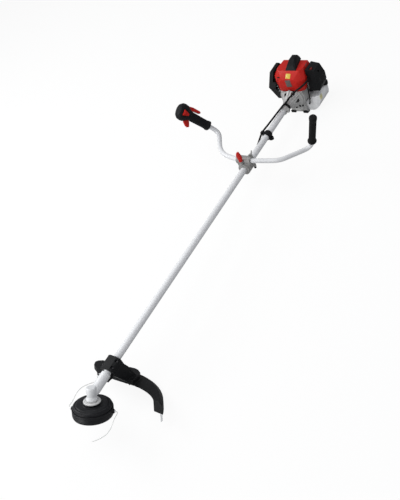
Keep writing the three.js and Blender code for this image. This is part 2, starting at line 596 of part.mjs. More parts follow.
function handleClampCap() {
  const { saddleRadius, halfWidth } = clampBody;
  const saddle = rod(barAxis(-halfWidth), barAxis(halfWidth), saddleRadius, 28);
  const bosses = [rod(boltAt(wingBolt, handle.z), boltAt(wingBolt, wingBolt.seat), wingBolt.boss, 20),
    rod(boltAt(wingKnob, handle.z), boltAt(wingKnob, wingKnob.seat), wingKnob.boss, 20)];
  const below = block([-60, handle.y - 60, -60], [60, handle.y + 60, handle.z + gap / 2]);
  const barBore = rod(barAxis(-halfWidth - 4), barAxis(halfWidth + 4), handle.barRadius + gap, 28);
  const clear = [wingBolt, wingKnob].map((bolt) => rod(boltAt(bolt, bolt.seat), boltAt(bolt, 80), bolt.boss + 1.5, 20));
  const holes = [wingBolt, wingKnob].map((bolt) => rod(boltAt(bolt, 0), boltAt(bolt, 80), bolt.radius + gap, 16));
  return cut(join(saddle, ...bosses), below, barBore, ...clear, ...holes);
}

function clampWingBolt() {
  const { seat, top, bottom, radius } = wingBolt;
  const foot = seat + gap;
  const shank = rod(boltAt(wingBolt, bottom), boltAt(wingBolt, foot + 3), radius, 16);
  const hub = rod(boltAt(wingBolt, foot), boltAt(wingBolt, foot + 9), radius + 4.5, 16, radius + 2.5);
  const wing = across([[-13, top], [-15, top - 3], [-5, foot + 2], [5, foot + 2], [15, top - 3], [13, top],
    [4, foot + 9], [-4, foot + 9]], -2, 2).translate([wingBolt.x, handle.y + wingBolt.dy, 0]);
  const tip = rod(boltAt(wingBolt, bottom - 2), boltAt(wingBolt, bottom + 4), radius + 1.6, 16);
  return join(shank, hub, wing, tip);
}

function wingKnobPiece() {
  const { seat, top, bottom, radius, reach } = wingKnob;
  const foot = seat + gap;
  const shank = rod(boltAt(wingKnob, bottom), boltAt(wingKnob, foot + 3), radius, 16);
  const hub = rod(boltAt(wingKnob, foot), boltAt(wingKnob, foot + 20), 8, 20, 7);
  const low = foot + 1;
  const lens = (width, from, to) => along([[-width * 0.4, low], [-width * 0.8, low + 8], [-width, low + 20],
    [-width * 0.9, low + 31], [-width * 0.5, top - 3], [0, top], [width * 0.5, top - 3], [width * 0.9, low + 31],
    [width, low + 20], [width * 0.8, low + 8], [width * 0.4, low]], from, to);
  const wing = join(lens(reach, -3.2, 3.2), lens(reach * 0.62, -5.5, 5.5));
  return join(shank, hub, wing.translate([wingKnob.x, handle.y + wingKnob.dy, 0]));
}

// ---------- handlebar, in the frame of the clamp's bar axis ----------
function barPath(side) {
  const hand = side > 0 ? 'left' : 'right';
  const points = [point(side * gap / 2, 0, 0), point(side * 40, 0, 0), ...[barBends[hand], barBends.second, barBends.end]
    .map(([x, y, z]) => point(side * x, y, z))];
  return bentPath(points, [3, bendRadius[hand], bendRadius.second]);
}

function handlebar(side) {
  const path = barPath(side);
  const outside = bentTube(path, handle.barRadius, 14, 4);
  const inside = bentTube(path, handle.barRadius - handle.barWall, 8, 4);
  return cut(outside, inside);
}

// Axes of a bar's upper part: Z up the bar from its second bend, X inboard, Y towards the operator.
function gripFrame(side) {
  const [bend, end] = [barBends.second, barBends.end].map(([x, y, z]) => point(side * x, y, z));
  const up = end.clone().sub(bend).normalize();
  const inboard = point(-side, 0, 0).projectOnPlane(up).normalize();
  const frame = new THREE.Group();
  const basis = new THREE.Matrix4().makeBasis(inboard, up.clone().cross(inboard), up);
  frame.quaternion.setFromRotationMatrix(basis);
  frame.position.copy(bend);
  return frame;
}
const barLength = point(...barBends.end).distanceTo(point(...barBends.second));

function plainGripPiece() {
  const { from, to, radius, dome } = plainGrip;
  return turnedUp([
    [handle.barRadius + gap, from], [radius + 3.5, from], [radius + 4, from + 5], [radius + 0.5, from + 12],
    [radius, to - 20], [dome, to - 14], [dome, to - 6], [dome - 4, to - 1], [dome - 9, to], [0, to],
    [0, barLength + gap], [handle.barRadius + gap, barLength + gap], [handle.barRadius + gap, from],
  ], 16);
}

// Sections of the throttle grip: height up the bar, half width, half depth.
const gripSections = [[60, 19.5, 20.5], [68, 19.5, 20.5], [76, 16, 18.5], [112, 16, 19], [160, 16.5, 20], [176, 20, 28],
  [186, 24, 34.5], [199, 26, 36.5], [212, 25, 34.5], [221, 21, 27], [226, 13, 16]];

function gripBody(shrink = 0) {
  const rings = gripSections.map(([z, halfWidth, halfDepth]) => range(24).map((i) => {
    const turn = i / 24 * 2 * Math.PI;
    const square = (value) => Math.sign(value) * Math.abs(value) ** 0.8;
    return point((halfWidth - shrink) * square(Math.cos(turn)), (halfDepth - shrink) * square(Math.sin(turn)), z);
  }));
  return loft(rings);
}
const triggerPivot = [-15, 181];
const leverHalf = 5;

function gripHalf(side) {
  const bore = rod(point(0, 0, 30), point(0, 0, barLength + gap), handle.barRadius + gap, 24);
  const pockets = [block([-leverHalf - gap, -60, 144], [leverHalf + gap, -11.5, 192]),
    block([-leverHalf - gap, 11.5, 146], [leverHalf + gap, 60, 192]),
    block([21.5, -21.5, 175], [40, 5.5, 209])];
  const cableSeat = rod(point(...cableEntry, 54), point(...cableEntry, 84), armCableRadius + gap, 12);
  const other = side > 0 ? block([-60, -60, 0], [gap / 2, 60, 300]) : block([-gap / 2, -60, 0], [60, 60, 300]);
  return cut(gripBody(), bore, ...pockets, cableSeat, other);
}

function throttleTrigger() {
  const body = across([[-12.5, 184], [-20, 188], [-37, 181], [-47, 168], [-50, 157], [-46, 151], [-38, 153], [-26, 158],
    [-16, 168], [-15.5, 174]], -leverHalf, leverHalf);
  const pin = rod(point(-8, ...triggerPivot), point(8, ...triggerPivot), 1.8, 12);
  return cut(body, rod(point(-9, ...triggerPivot), point(9, ...triggerPivot), 1.2, 10), pin);
}

function lockoutLever() {
  return across([[12.5, 184], [24, 188], [34, 180], [38, 160], [38, 124], [35, 119], [29, 119], [26.5, 124], [24.5, 148],
    [21, 158], [14, 170]], -leverHalf, leverHalf);
}

function stopSwitch() {
  const body = across([[-21, 208], [5, 208], [-4, 182], [-12, 182]], 22, 29);
  const ridge = across([[-16, 205], [0, 205], [-3, 198], [-13, 198]], 28, 31);
  return join(body, ridge);
}

// ---------- throttle cable ----------
const cableEntry = [-7.9, 10.3];
const cableSplit = 45;

// From beside the carburettor, over the engine's neck and along the shaft to the right arm.
const cableRoute = [[81, 1588, 72], [76, 1570, 70], [62, 1548, 63], [38, 1530, 51], [18, 1508, 37], [6, 1487, 25.5],
  [1, 1466, 24.5], [-5, 1440, 20.5], [-11, 1400, 17], [-17, 1350, 14], cableAtHanger.toArray(), [-19.5, 1270, 4],
  [-17, 1240, -5], [-15, 1205, -10], [-16, 1176, -9], [-22, 1156, 0], [-30.5, 1141, 10], [-37, 1130, 16]];

const behindBar = point(0, 2, -13.4);
function armCableRoute() {
  const [first, second] = [barBends.right, barBends.second].map(([x, y, z]) => point(-x, y, z));
  const frame = gripFrame(-1);
  frame.updateMatrix();
  const entry = point(...cableEntry, gripSections[0][0] - gap).applyMatrix4(frame.matrix);
  const up = point(0, 0, 1).applyQuaternion(frame.quaternion);
  const below = entry.clone().addScaledVector(up, -(gripSections[0][0] + 13));
  return [point(-cableSplit + 2, 2.7, -0.8).add(behindBar), point(-52, 4, -2).add(behindBar), first.add(behindBar), below, entry];
}
const twisted = (p) => p.clone().applyAxisAngle(point(1, 0, 0), handle.twist).add(point(0, handle.y, handle.z));

function throttleCable() {
  const [start, next] = armCableRoute().map(twisted);
  const points = [...cableRoute.map((p) => point(...p)), start, start.clone().lerp(next, 0.4)];
  const whole = swept(new THREE.CatmullRomCurve3(points, false, 'centripetal'), cableRadius, 7, 44);
  return cut(whole, block([-90, handle.y - 60, -60], [-cableSplit + gap / 2, handle.y + 60, 90]));
}

function armCable() {
  const path = bentPath(armCableRoute(), [3, bendRadius.right, bendRadius.second]);
  return cut(bentTube(path, armCableRadius, 7), block([-cableSplit - gap / 2, -60, -60], [0, 60, 60]));
}

// ---------- neck of the engine ----------
function tubeCollar() {
  const { radius, from, to } = collar;
  const inner = tube.radius + gap;
  const ring = turnedAlong([[inner, from], [radius - 1, from], [radius, from + 1], [radius, to - 1], [radius - 1, to],
    [inner, to], [inner, from]], 16);
  const ears = block([inner + 1, from + 6, -8], [radius + 7, to - 6, 8]);
  const slit = block([inner - 2, from - 1, -1], [radius + 8, to + 1, 1]);
  const bore = turnedAlong(discProfile(inner, from - 1, to + 1), 16);
  return cut(join(ring, ears), slit, bore);
}

const ringFront = collar.to + gap;
const housingFront = ringFront + avRing.length + gap;

const avRingPiece = () => turnedAlong([
  [tube.radius + gap, ringFront], [avRing.radius - 2, ringFront], [avRing.radius, ringFront + 2],
  [avRing.radius, housingFront - gap - 2], [avRing.radius - 2, housingFront - gap],
  [tube.radius + gap, housingFront - gap], [tube.radius + gap, ringFront],
], 18);

const hubRadius = 12;
const hubFront = tube.rear + 1.5;
const drumDisc = crankcase.front - clutch.drumDepth - 1.5;

function clutchHousingPiece() {
  const { neckRadius, baseRadius, coneStart, coneEnd, flange: rim, wall } = clutchHousing;
  const rear = crankcase.front - gap;
  const slope = (baseRadius - neckRadius) / (coneEnd - coneStart);
  const insideAt = (y) => neckRadius + (y - coneStart) * slope - wall - 0.6;
  const shell = turnedAlong([
    [tube.radius + gap, housingFront], [neckRadius, housingFront], [neckRadius, coneStart], [baseRadius, coneEnd],
    [rim, coneEnd + 1], [rim, rear], [36, rear], [36, 1538], [insideAt(1529), 1529], [insideAt(1517), 1517],
    [hubRadius + gap, 1516], [hubRadius + gap, tube.rear + gap], [tube.radius + gap, tube.rear + gap],
    [tube.radius + gap, housingFront],
  ], 22);
  const turns = range(6).map((i) => i * 60 + 30);
  const windows = turns.map((turn) => hull([[8, 1520], [60, 1520]].flatMap(([z, y]) => [
    point(0, y, z), point(z * 0.24, y + 20, z), point(-z * 0.24, y + 20, z)])).rotate([0, turn, 0]));
  const ribs = turns.map((turn) =>
    across([[1496, 18], [1546, 43], [1546, 50], [1502, 22.6], [1496, 21.5]], -1.6, 1.6).rotate([0, turn + 30, 0]));
  const bolts = range(4).map((i) => rod(point(0, 1541, 47.5), point(0, rear, 47.5), 5, 12).rotate([0, 45 + i * 90, 0]));
  const underCover = block([-60, coneEnd - 2, deck.z + gap], [60, rear + 1, 60]);
  return cut(join(cut(shell, ...windows), ...ribs, ...bolts), underCover);
}

function clutchDrum() {
  const { drumRadius, drumWall } = clutch;
  const inner = drive.radius + gap;
  return turnedAlong([
    [inner, hubFront], [hubRadius, hubFront], [hubRadius, drumDisc], [drumRadius - 2, drumDisc], [drumRadius, drumDisc + 2],
    [drumRadius, drumDisc + clutch.drumDepth], [drumRadius - drumWall, drumDisc + clutch.drumDepth],
    [drumRadius - drumWall, drumDisc + drumWall + 1], [inner, drumDisc + drumWall + 1], [inner, hubFront],
  ], 20);
}

// ---------- engine ----------
const crankBore = 8.4;
const fanFront = crankcase.front + 12.2;
const pistonAxis = (x, z) => point(x, cylinder.y, z);

// Clutch rotor, fan and crankshaft turn as one.
function flywheel() {
  const shaftRadius = crankBore - gap - 0.1;
  const rotorFront = drumDisc + clutch.drumWall + 3;
  const front = turnedAlong([
    [0, rotorFront], [clutch.rotorRadius - 3, rotorFront], [clutch.rotorRadius, rotorFront + 1.5],
    [clutch.rotorRadius, rotorFront + 11], [shaftRadius, rotorFront + 12], [shaftRadius, fanFront], [18, fanFront],
    [18, fanFront + 12], [fan.radius, fanFront + fan.thickness - 2.4], [fan.radius, fanFront + fan.thickness],
    [shaftRadius, fanFront + fan.thickness], [shaftRadius, cylinder.y - 11], [25, cylinder.y - 11], [25, cylinder.y - 5],
    [0, cylinder.y - 5],
  ], 20);
  const rear = turnedAlong([[0, cylinder.y + 5], [25, cylinder.y + 5], [25, cylinder.y + 11], [shaftRadius, cylinder.y + 11],
    [shaftRadius, starter.front + 6], [0, starter.front + 6]], 16);
  const pin = rod(point(0, cylinder.y - 7, 16), point(0, cylinder.y + 7, 16), 5, 16);
  const blades = range(fan.blades).map((i) => hull([[15, -1.2], [15, 1.2], [fan.radius - 0.6, 7], [fan.radius - 0.6, 9]]
    .flatMap(([z, x]) => [point(x, fanFront, z), point(x, fanFront + fan.thickness - 1, z)]))
    .rotate([0, i / fan.blades * 360, 0]));
  return join(front, rear, pin, ...blades);
}

function crankcasePiece() {
  const { radius, front, depth, wall, bodyRadius, rear } = crankcase;
  const back = front + depth;
  const deckUnder = deck.z - deck.thickness;
  const cup = (outer, inner, from) => turnedAlong([[38, from], [outer, from], [outer, back], [bodyRadius - 4, back],
    [bodyRadius - 4, back - 5], [inner, back - 5], [inner, from + wall], [38, from + wall], [38, from]], 24);
  const lower = cut(cup(radius, radius - wall, front), block([-80, front - 5, deckUnder], [80, back + 5, 80]));
  const upper = cut(cup(52, 49.6, front + 8.7), block([-80, front - 5, -80], [80, back + 5, deckUnder]));
  const plate = join(block([-deck.halfWidth, front, deckUnder], [deck.halfWidth, back + 1, deck.z]),
    block([-43, back, deckUnder], [43, rear, deck.z]));
  const body = turnedAlong(discProfile(bodyRadius, back - 5, rear), 20);
  const seat = block([-31, back - 5, 0], [31, cylinder.y + 27, 40]);
  const fanSpace = turnedAlong(discProfile(49.6, front - 1, back - 5), 22);
  const chamber = turnedAlong(discProfile(28, cylinder.y - 13, cylinder.y + 13), 18);
  const bore = turnedAlong(discProfile(crankBore, front, rear + 1), 14);
  const throat = rod(pistonAxis(0, 0), pistonAxis(0, 45), 15.5, 28);
  const flangeEar = [-1, 1].map((side) => rod(point(side * 40, front, -40), point(side * 40, front + 9, -40), 6, 14));
  const shell = join(lower, upper, cut(plate, fanSpace), body, seat, ...flangeEar);
  const airWay = block([-36, back - 17, 40], [36, rear + 1, 60]);
  return cut(shell, chamber, bore, throat, airWay);
}

function cylinderPiece() {
  const { radius, core, top, fins, finThickness } = cylinder;
  const foot = 40 + gap;
  const barrel = rod(pistonAxis(0, foot), pistonAxis(0, top), core, 28, core - 2);
  const base = block([-29, cylinder.y - 24, foot], [29, cylinder.y + 24, foot + 5]);
  const plates = range(fins).map((i) => {
    const z = foot + 11 + i * (top - foot - 16) / (fins - 1);
    const half = i === fins - 1 ? radius - 8 : radius - 3;
    return turnedUp([[0, z], [half, z], [half, z + finThickness], [0, z + finThickness]], 14).translate([0, cylinder.y, 0]);
  });
  const intake = block([core - 6, cylinder.y - 12, 52], [carburettor.from - gap, cylinder.y + 16, 80]);
  const exhaust = block([-44, cylinder.y - 10, 44], [-core + 6, cylinder.y + 14, 60]);
  const bore = rod(pistonAxis(0, 30), pistonAxis(0, top - 12), 15.5, 28);
  const plugHole = rod(pistonAxis(0, top - 14), pistonAxis(0, top + 2), 5.3, 16);
  return cut(join(barrel, base, ...plates, intake, exhaust), bore, plugHole);
}

// Corners of the cover: half widths and places that step back with height to give its facets.
function hoodHull(inset) {
  const { bottom, crease, top, rear, ridge, halfWidth } = hood;
  const low = inset ? bottom - 2 : bottom;
  const levels = [
    [46, 1553, low], [64, 1566, low], [64, rear, low],
    [29, 1551, crease + 8], [40, 1550, crease - 6], [64, 1562, crease - 1], [73, 1575, crease - 1], [73, rear, crease - 1],
    [50, ridge, top], [62, ridge + 23, top], [58, rear - 1, top],
  ];
  const exhaustSide = [[halfWidth, 1592, crease - 1], [halfWidth, 1642, crease - 1]];
  const middle = 1610;
  const place = ([x, y, z], side) =>
    point(side * (x - inset * 1.1), y + Math.sign(middle - y) * inset, z === top ? z - inset : z);
  return hull([...levels.flatMap((corner) => [place(corner, -1), place(corner, 1)]),
    ...exhaustSide.map((corner) => place(corner, -1))]);
}

function slotAt([x, y, z], [dx, dy, dz], radius) {
  return rod(point(x - dx, y - dy, z - dz), point(x + dx, y + dy, z + dz), radius, 10);
}

function engineCover() {
  const shell = cut(hoodHull(0), hoodHull(hood.wall));
  const besideFilter = block([67, filter.inner + 1521, 0], [130, 1700, 130]);
  const plugOpening = rod(pistonAxis(0, hood.top - 10), pistonAxis(0, hood.top + 5), 14, 24);
  const exhaustNotch = block([-95, cylinder.y - 14, 20], [-40, cylinder.y + 18, 63]);
  const hoseNotch = block([46, 1586, 20], [75, 1614, 50]);
  const louvres = [[-71.5, 1574.4, 66], [-68, 1571.6, 56]].map((place) => slotAt(place, [6.6, -8.4, 0.6], 2));
  const carburettorNotch = block([48, 1597, 40], [75, 1645, 90]);
  const crankNotch = turnedAlong(discProfile(crankcase.bodyRadius + 1, 1640, 1660), 22);
  return cut(shell, besideFilter, plugOpening, exhaustNotch, hoseNotch, carburettorNotch, crankNotch, ...louvres);
}

function plugCover() {
  const { halfWidth, footRight, height, crestHalfWidth } = hump;
  const foot = hood.top + gap;
  const crest = hood.top + height;
  const shape = (inset) => hull([
    [halfWidth, hood.ridge, foot], [halfWidth - 1, hood.rear + 8, foot], [halfWidth - 5, hood.ridge + 14, foot + 14],
    [crestHalfWidth, hood.ridge + 40, crest - 3], [crestHalfWidth - 3, hood.ridge + 46, crest],
    [crestHalfWidth - 3, hood.ridge + 66, crest], [crestHalfWidth, hood.ridge + 74, crest - 3], [halfWidth - 5, hood.rear + 6, foot + 14],
  ].flatMap(([x, y, z]) => [-1, 1].map((side) => {
    const reach = side > 0 && y === hood.ridge ? footRight : x;
    return point(side * (reach - inset), y + Math.sign(1620 - y) * inset * 1.4, z === foot ? z - inset : z - inset * 1.1);
  })));
  return cut(shape(0), shape(2.2)).translate([hump.x, 0, 0]);
}

function sparkPlug() {
  const top = cylinder.top;
  const thread = rod(pistonAxis(0, top - 11), pistonAxis(0, top + gap + 1), 5, 16);
  const seat = rod(pistonAxis(0, top + gap), pistonAxis(0, top + 7), 9.5, 6);
  const insulator = rod(pistonAxis(0, top + 6), pistonAxis(0, top + 16), 4.5, 14);
  const boot = turnedUp([[0, top + 13], [5.5, top + 13], [6, top + 16], [6, top + 34], [4, top + 37], [0, top + 37]], 14)
    .translate([0, cylinder.y, 0]);
  return join(thread, seat, insulator, boot);
}

function mufflerPiece() {
  const { outer, inner, bottom, top } = muffler;
  const can = hull([[outer - 3, 1592, 0], [outer - 3, 1646, 0], [outer - 3, 1592, top - 6], [outer - 3, 1646, top - 6],
    [guard.inner, 1588, bottom], [guard.inner, 1650, bottom], [guard.inner, 1588, top], [guard.inner, 1650, top]]
    .map((p) => point(...p)));
  const box = block([guard.inner - 2, 1603, bottom], [inner - 2, 1648, 19]);
  const neck = block([-66, cylinder.y - 10, 17], [inner - gap, cylinder.y + 14, 58]);
  const outlet = rod(point(outer + 4, 1640, 10), point(outer + 4, 1656, 4), 6, 16);
  const outletHole = rod(point(outer + 4, 1636, 12), point(outer + 4, 1660, 2), 4.4, 16);
  return cut(join(can, box, neck, outlet), outletHole);
}

// Outline of the exhaust guard along and up.
const guardOutline = [[1552, 46], [1598, 104], [1655, 106], [1690, 58], [1690, -10], [1640, -50], [1592, -38]];

function mufflerGuard() {
  const { outer, inner, wall, chamfer } = guard;
  const middle = [1622, 25];
  const ring = (x, shrink) => guardOutline.map(([y, z]) => {
    const away = point(0, y - middle[0], z - middle[1]);
    return away.setLength(away.length() - shrink).add(point(x, ...middle));
  });
  const shape = hull([...ring(inner, 0), ...ring(outer + chamfer, 0), ...ring(outer, chamfer)]);
  const space = hull([...ring(inner + 4, wall), ...ring(outer + chamfer + 1, wall), ...ring(outer + wall, chamfer + wall * 0.6)]);
  const apron = across([[1568, 66], [1552, 46], [1592, -38], [1640, -50], [1640, -47.4], [1593.5, -35.6],
    [1554.9, 45.5], [1570, 64.2]], inner - 1, inner + 16);
  const vents = [[-97.6, 41.5], [-85.7, 41.5], [-91.6, 31.6], [-79.8, 31.6], [-97.6, 21.7], [-85.7, 21.7]].map(([x, z]) => {
    const y = 1552 + (46 - z) * 40 / 84;
    return rod(point(x, y - 4, z - 2), point(x, y + 6, z + 3), 2.9, 8);
  });
  const pads = [[1604, 58], [1636, 58]].map(([y, z]) => rod(point(outer + 1, y, z), point(muffler.outer - 3.4, y, z), 4, 12));
  return cut(join(cut(shape, space), apron, ...pads), ...vents);
}

function carburettorPiece() {
  const { from, to, y, z, halfSize } = carburettor;
  const body = block([from, y - halfSize, z - halfSize + 4], [to, y + halfSize - 3, z + halfSize - 3]);
  const flangePlate = block([to - 1, y - halfSize + 3, z - halfSize + 3], [filter.inner, y + halfSize - 5, z + halfSize - 5]);
  const bowl = rod(point(52, y - 1, z - halfSize + 5), point(52, y - 1, z - halfSize - 8), 11, 20);
  const inlet = rod(point(50, y - halfSize - 5, 53), point(50, y - halfSize + 1, 53), 2.6, 12);
  const throat = rod(point(from - 1, y, z), point(filter.inner + 1, y, z), 7, 20);
  const lever = block([56, y - halfSize - 2, z + halfSize - 12], [59, y + 2, z + halfSize]);
  return cut(join(body, flangePlate, bowl, inlet, lever), throat);
}

const chokeAt = { x: 91, y: 1609, floor: 107.5 };

function filterCover() {
  const { inner, outer, front, rear, bottom, top, wall } = filter;
  const shape = (inset) => hull([
    [inner, front, top - 3], [inner, rear, top - 3], [inner, front, bottom + 2], [inner, rear, bottom + 2],
    [108, front + 4, top - 12], [108, rear, top - 12], [outer - 2, front + 7, 68], [outer, rear, 66],
    [outer, front + 9, 34], [outer, rear, 32], [112, front + 6, bottom], [112, rear, bottom],
  ].map(([x, y, z]) => point(x === inner ? x + gap + inset : x - inset, y + (y === rear ? -inset : inset),
    z + (z > 60 ? -inset : inset))));
  const recess = rod(point(chokeAt.x, chokeAt.y, chokeAt.floor), point(chokeAt.x, chokeAt.y, 130), 9, 28);
  const seat = rod(point(chokeAt.x, chokeAt.y, chokeAt.floor - 2.4), point(chokeAt.x, chokeAt.y, chokeAt.floor), 9.5, 24);
  const louvres = range(4).map((i) => block([outer - 6, 1612, 36 + i * 8], [outer + 2, 1646, 38.4 + i * 8]));
  const screw = rod(point(outer - 14, 1622, 88), point(outer + 2, 1622, 96), 5, 16);
  const side = hull([[outer - 5, 1622, 92]].map((p) => point(...p)).flatMap((p) => range(8).map((i) =>
    p.clone().add(point(i % 2 ? 3 : -4, (i & 2) ? 7 : -7, (i & 4) ? 7 : -7)))));
  const throat = rod(point(inner - 1, carburettor.y, carburettor.z), point(inner + 6, carburettor.y, carburettor.z), 7, 16);
  const body = cut(shape(0), shape(wall));
  return cut(join(body, side.intersect(shape(0)), seat.intersect(shape(0))), screw, recess, throat, ...louvres);
}

function chokeLever() {
  const { x, y, floor } = chokeAt;
  const hub = rod(point(x, y, floor + gap), point(x, y, floor + 4), 5.5, 20);
  const arm = block([x - 2, y - 8, floor + gap], [x + 2, y + 8, floor + 6.5]);
  return join(hub, arm);
}

// ---------- fuel ----------
function tankPiece() {
  const { left, right, front, rear, bottom, top, wall, shoulder } = tank;
  const profile = (inset) => [[left + inset, bottom + inset], [right - 34 - inset, bottom + inset],
    [right - 10 - inset, bottom + 18 + inset], [right - inset, bottom + 44 + inset], [right - inset, top + shoulder - 6 - inset], [right - 6 - inset, top + shoulder - inset],
    [62 + inset, top + shoulder - inset], [57 + inset, top - inset], [left + inset, top - inset]];
  const body = along(profile(0), front, rear);
  const corner = hull([[left - 5, front + 8], [left + 8, front], [right - 16, front], [right, front + 16], [right, rear - 16],
    [right - 16, rear], [left + 8, rear], [left - 5, rear - 8]].flatMap(([x, y]) => [point(x, y, bottom - 5), point(x, y, 0)]));
  const inside = along(profile(wall), front + wall, rear - wall).intersect(corner.translate([-2.5, 0, 0]));
  const aroundStarter = (more) => turnedAlong(discProfile(starter.radius + 1 + more, starter.front - 3 - more, rear + 10), 22);
  const neck = rod(point(fuelCap.x, fuelCap.y, top + shoulder - 1), point(fuelCap.x, fuelCap.y, top + shoulder + 9), fuelCap.neck, 24);
  const neckHole = rod(point(fuelCap.x, fuelCap.y, top + shoulder - 6), point(fuelCap.x, fuelCap.y, top + shoulder + 12), fuelCap.neck - 2, 24);
  const aroundCase = (more) => turnedAlong(discProfile(crankcase.radius + 1 + more, front - 5,
    crankcase.front + crankcase.depth + 1 + more), 32);
  // The underside rises towards the rear, clear of the ground.
  const under = (more) => across([[front - 5, groundAt(front - 5) + 2 + more], [rear + 5, groundAt(rear + 5) + 2 + more],
    [rear + 5, bottom - 20], [front - 5, bottom - 20]], left - 10, right + 10);
  const shell = cut(body.intersect(corner), aroundStarter(0), aroundCase(0), under(0));
  return cut(join(shell, neck), cut(inside, aroundStarter(wall), aroundCase(wall), under(wall)), neckHole);
}

function fuelCapPiece() {
  const { x, y, radius, neck, height } = fuelCap;
  const foot = tank.top + tank.shoulder + gap;
  const body = turnedUp([[0, foot], [radius - 1.5, foot], [radius - 1, foot + 1], [radius - 1.5, foot + height - 2],
    [radius - 3.5, foot + height], [0, foot + height]], 16);
  const ridges = range(8).map((i) => {
    const turn = i / 8 * 2 * Math.PI;
    const [rx, ry] = [(radius - 2) * Math.cos(turn), (radius - 2) * Math.sin(turn)];
    return rod(point(rx, ry, foot + 0.6), point(rx, ry, foot + height - 3), 2, 8);
  });
  const inside = turnedUp(discProfile(neck + gap, foot - 1, foot + 10), 14);
  return cut(join(body, ...ridges), inside).translate([x, y, 0]);
}

// The fuel hose, from the carburettor down beside the fan case and into the front of the tank.
const hoseRoute = [[50, 1602, 53.6], [52, 1598, 47], [58, 1597.5, 35], [62, 1591, 20], [65.5, 1582, 2], [66, 1577, -22],
  [62, 1576, -42], [55, 1581, -54], [52, 1592, -57]];
function fuelLine() {
  const whole = swept(new THREE.CatmullRomCurve3(hoseRoute.map((p) => point(...p))), hoseRadius, 7, 20);
  return cut(whole, block([40, 1599.7, 30], [60, 1612, 70]), block([40, tank.front - gap, -70], [66, tank.front + 10, -40]));
}

// ---------- starter ----------
const ropeOut = point(-Math.sin(starterGrip.lean), 0, Math.cos(starterGrip.lean));
const ropeSeat = point(starterGrip.x + 3, starter.front + 18.5, starterGrip.z - 2);
const onRope = (reach) => ropeSeat.clone().addScaledVector(ropeOut, reach);

function starterHousing() {
  const { radius, front, depth, wall } = starter;
  const rear = front + depth;
  const shell = turnedAlong([
    [radius - wall, front], [radius, front], [radius, rear - 9], [radius - 9, rear], [0, rear], [0, rear - wall],
    [radius - 10, rear - wall], [radius - wall, rear - 10], [radius - wall, front],
  ], 24);
  const slots = range(6).map((i) => block([-3.5, rear - wall - 1, 22], [3.5, rear + 1, 44]).rotate([0, i * 60 + 30, 0]));
  const boss = cut(rod(onRope(-10), onRope(1), 8, 20, 7), turnedAlong(discProfile(radius - 1, front, rear), 24));
  const hole = rod(onRope(-20), onRope(4), 2.2, 12);
  const stub = turnedAlong(ringProfile(7, 11, rear - wall - 12, rear - wall + 0.5), 14);
  const web = range(4).map((i) => block([-1.2, front + 6, 11], [1.2, rear - 1.5, radius - 1.5]).rotate([0, 45 + i * 90, 0]));
  const pulley = turnedAlong(discProfile(40, front, rear - wall - 3), 18);
  return cut(join(shell, boss, stub, ...web.map((piece) => cut(piece, pulley))), ...slots, hole);
}

function starterHandle() {
  const stem = rod(onRope(1 + gap), onRope(12), 4.4, 16);
  const lengthways = point(0, 17, 0);
  const bar = [-1, 1].map((side) => rod(onRope(13), onRope(13).addScaledVector(lengthways, side), 6.6, 16, 5.2));
  const rope = rod(onRope(-8), onRope(3), 1.6, 10);
  return join(stem, ...bar, rope);
}

// ---------- stand ----------
function engineStand() {
  const { front, rear, plateTop, plateThickness, halfWidth } = stand;
  const low = plateTop - plateThickness;
  const plate = hull([[-halfWidth + 4, front], [halfWidth - 4, front], [halfWidth, front + 4], [halfWidth, rear], [-halfWidth, rear],
    [-halfWidth, front + 4]].flatMap(([x, y]) => [point(x, y, low), point(x, y, plateTop)]));
  const legs = [-1, 1].map((side) => hull([[22, front], [38, front], [38, rear], [22, rear]].flatMap(([x, y]) =>
    [point(side * x, y, low + 1), point(side * (x - 2), y, -42)])));
  const webs = across([[front, plateTop - 1], [rear, plateTop - 1], [rear - 5, -56], [rear - 8, -56]], -30, 30);
  const seat = turnedAlong(discProfile(crankcase.radius + gap, front - 5, rear + 5), 24);
  return cut(join(plate, ...legs, webs), seat);
}

function standPad() {
  const top = stand.plateTop - stand.plateThickness - gap;
  const [front, rear] = [stand.front - 4, stand.rear];
  const strip = hull([-1, 1].flatMap((side) => [stand.front + 4, rear].flatMap((y) =>
    [point(side * 44, y, top), point(side * 44, y, groundAt(y))])));
  const ends = [-1, 1].flatMap((side) => {
    const [low, high] = side > 0 ? [18, 42] : [-42, -18];
    const foot = hull([low, high].flatMap((x) => [front, stand.front + 5].flatMap((y) =>
      [point(x, y, top), point(x, y, groundAt(y))])));
    return [foot, block([low, front, top - 1], [high, stand.front - gap, stand.plateTop + 3])];
  });
  return join(strip, ...ends);
}

// ---------- assembly ----------
const trimmer = new THREE.Group();
trimmer.name = 'string_trimmer';

const shaftGroup = new THREE.Group();
shaftGroup.rotation.x = -lean;
shaftGroup.position.copy(point(0, -stand.y, stand.drop).applyAxisAngle(point(1, 0, 0), -lean));
trimmer.add(shaftGroup);

const headGroup = new THREE.Group();
headGroup.rotation.x = -headTilt;
shaftGroup.add(headGroup);

const leftArm = new THREE.Group();
leftArm.position.copy(barAxis(0));
const rightArm = new THREE.Group();
rightArm.position.copy(barAxis(0));
rightArm.rotation.x = handle.twist;
shaftGroup.add(leftArm, rightArm);

const leftGripFrame = gripFrame(1);
leftArm.add(leftGripFrame);
const rightGripFrame = gripFrame(-1);
rightArm.add(rightGripFrame);

put(shaftGroup, 'shaft_tube', shaftTube(), silver);
put(shaftGroup, 'drive_shaft', driveShaft(), steel);
['front', 'middle', 'rear'].forEach((name, i) => put(shaftGroup, `shaft_bush_${name}`, shaftBush(bush.places[i]), brass));

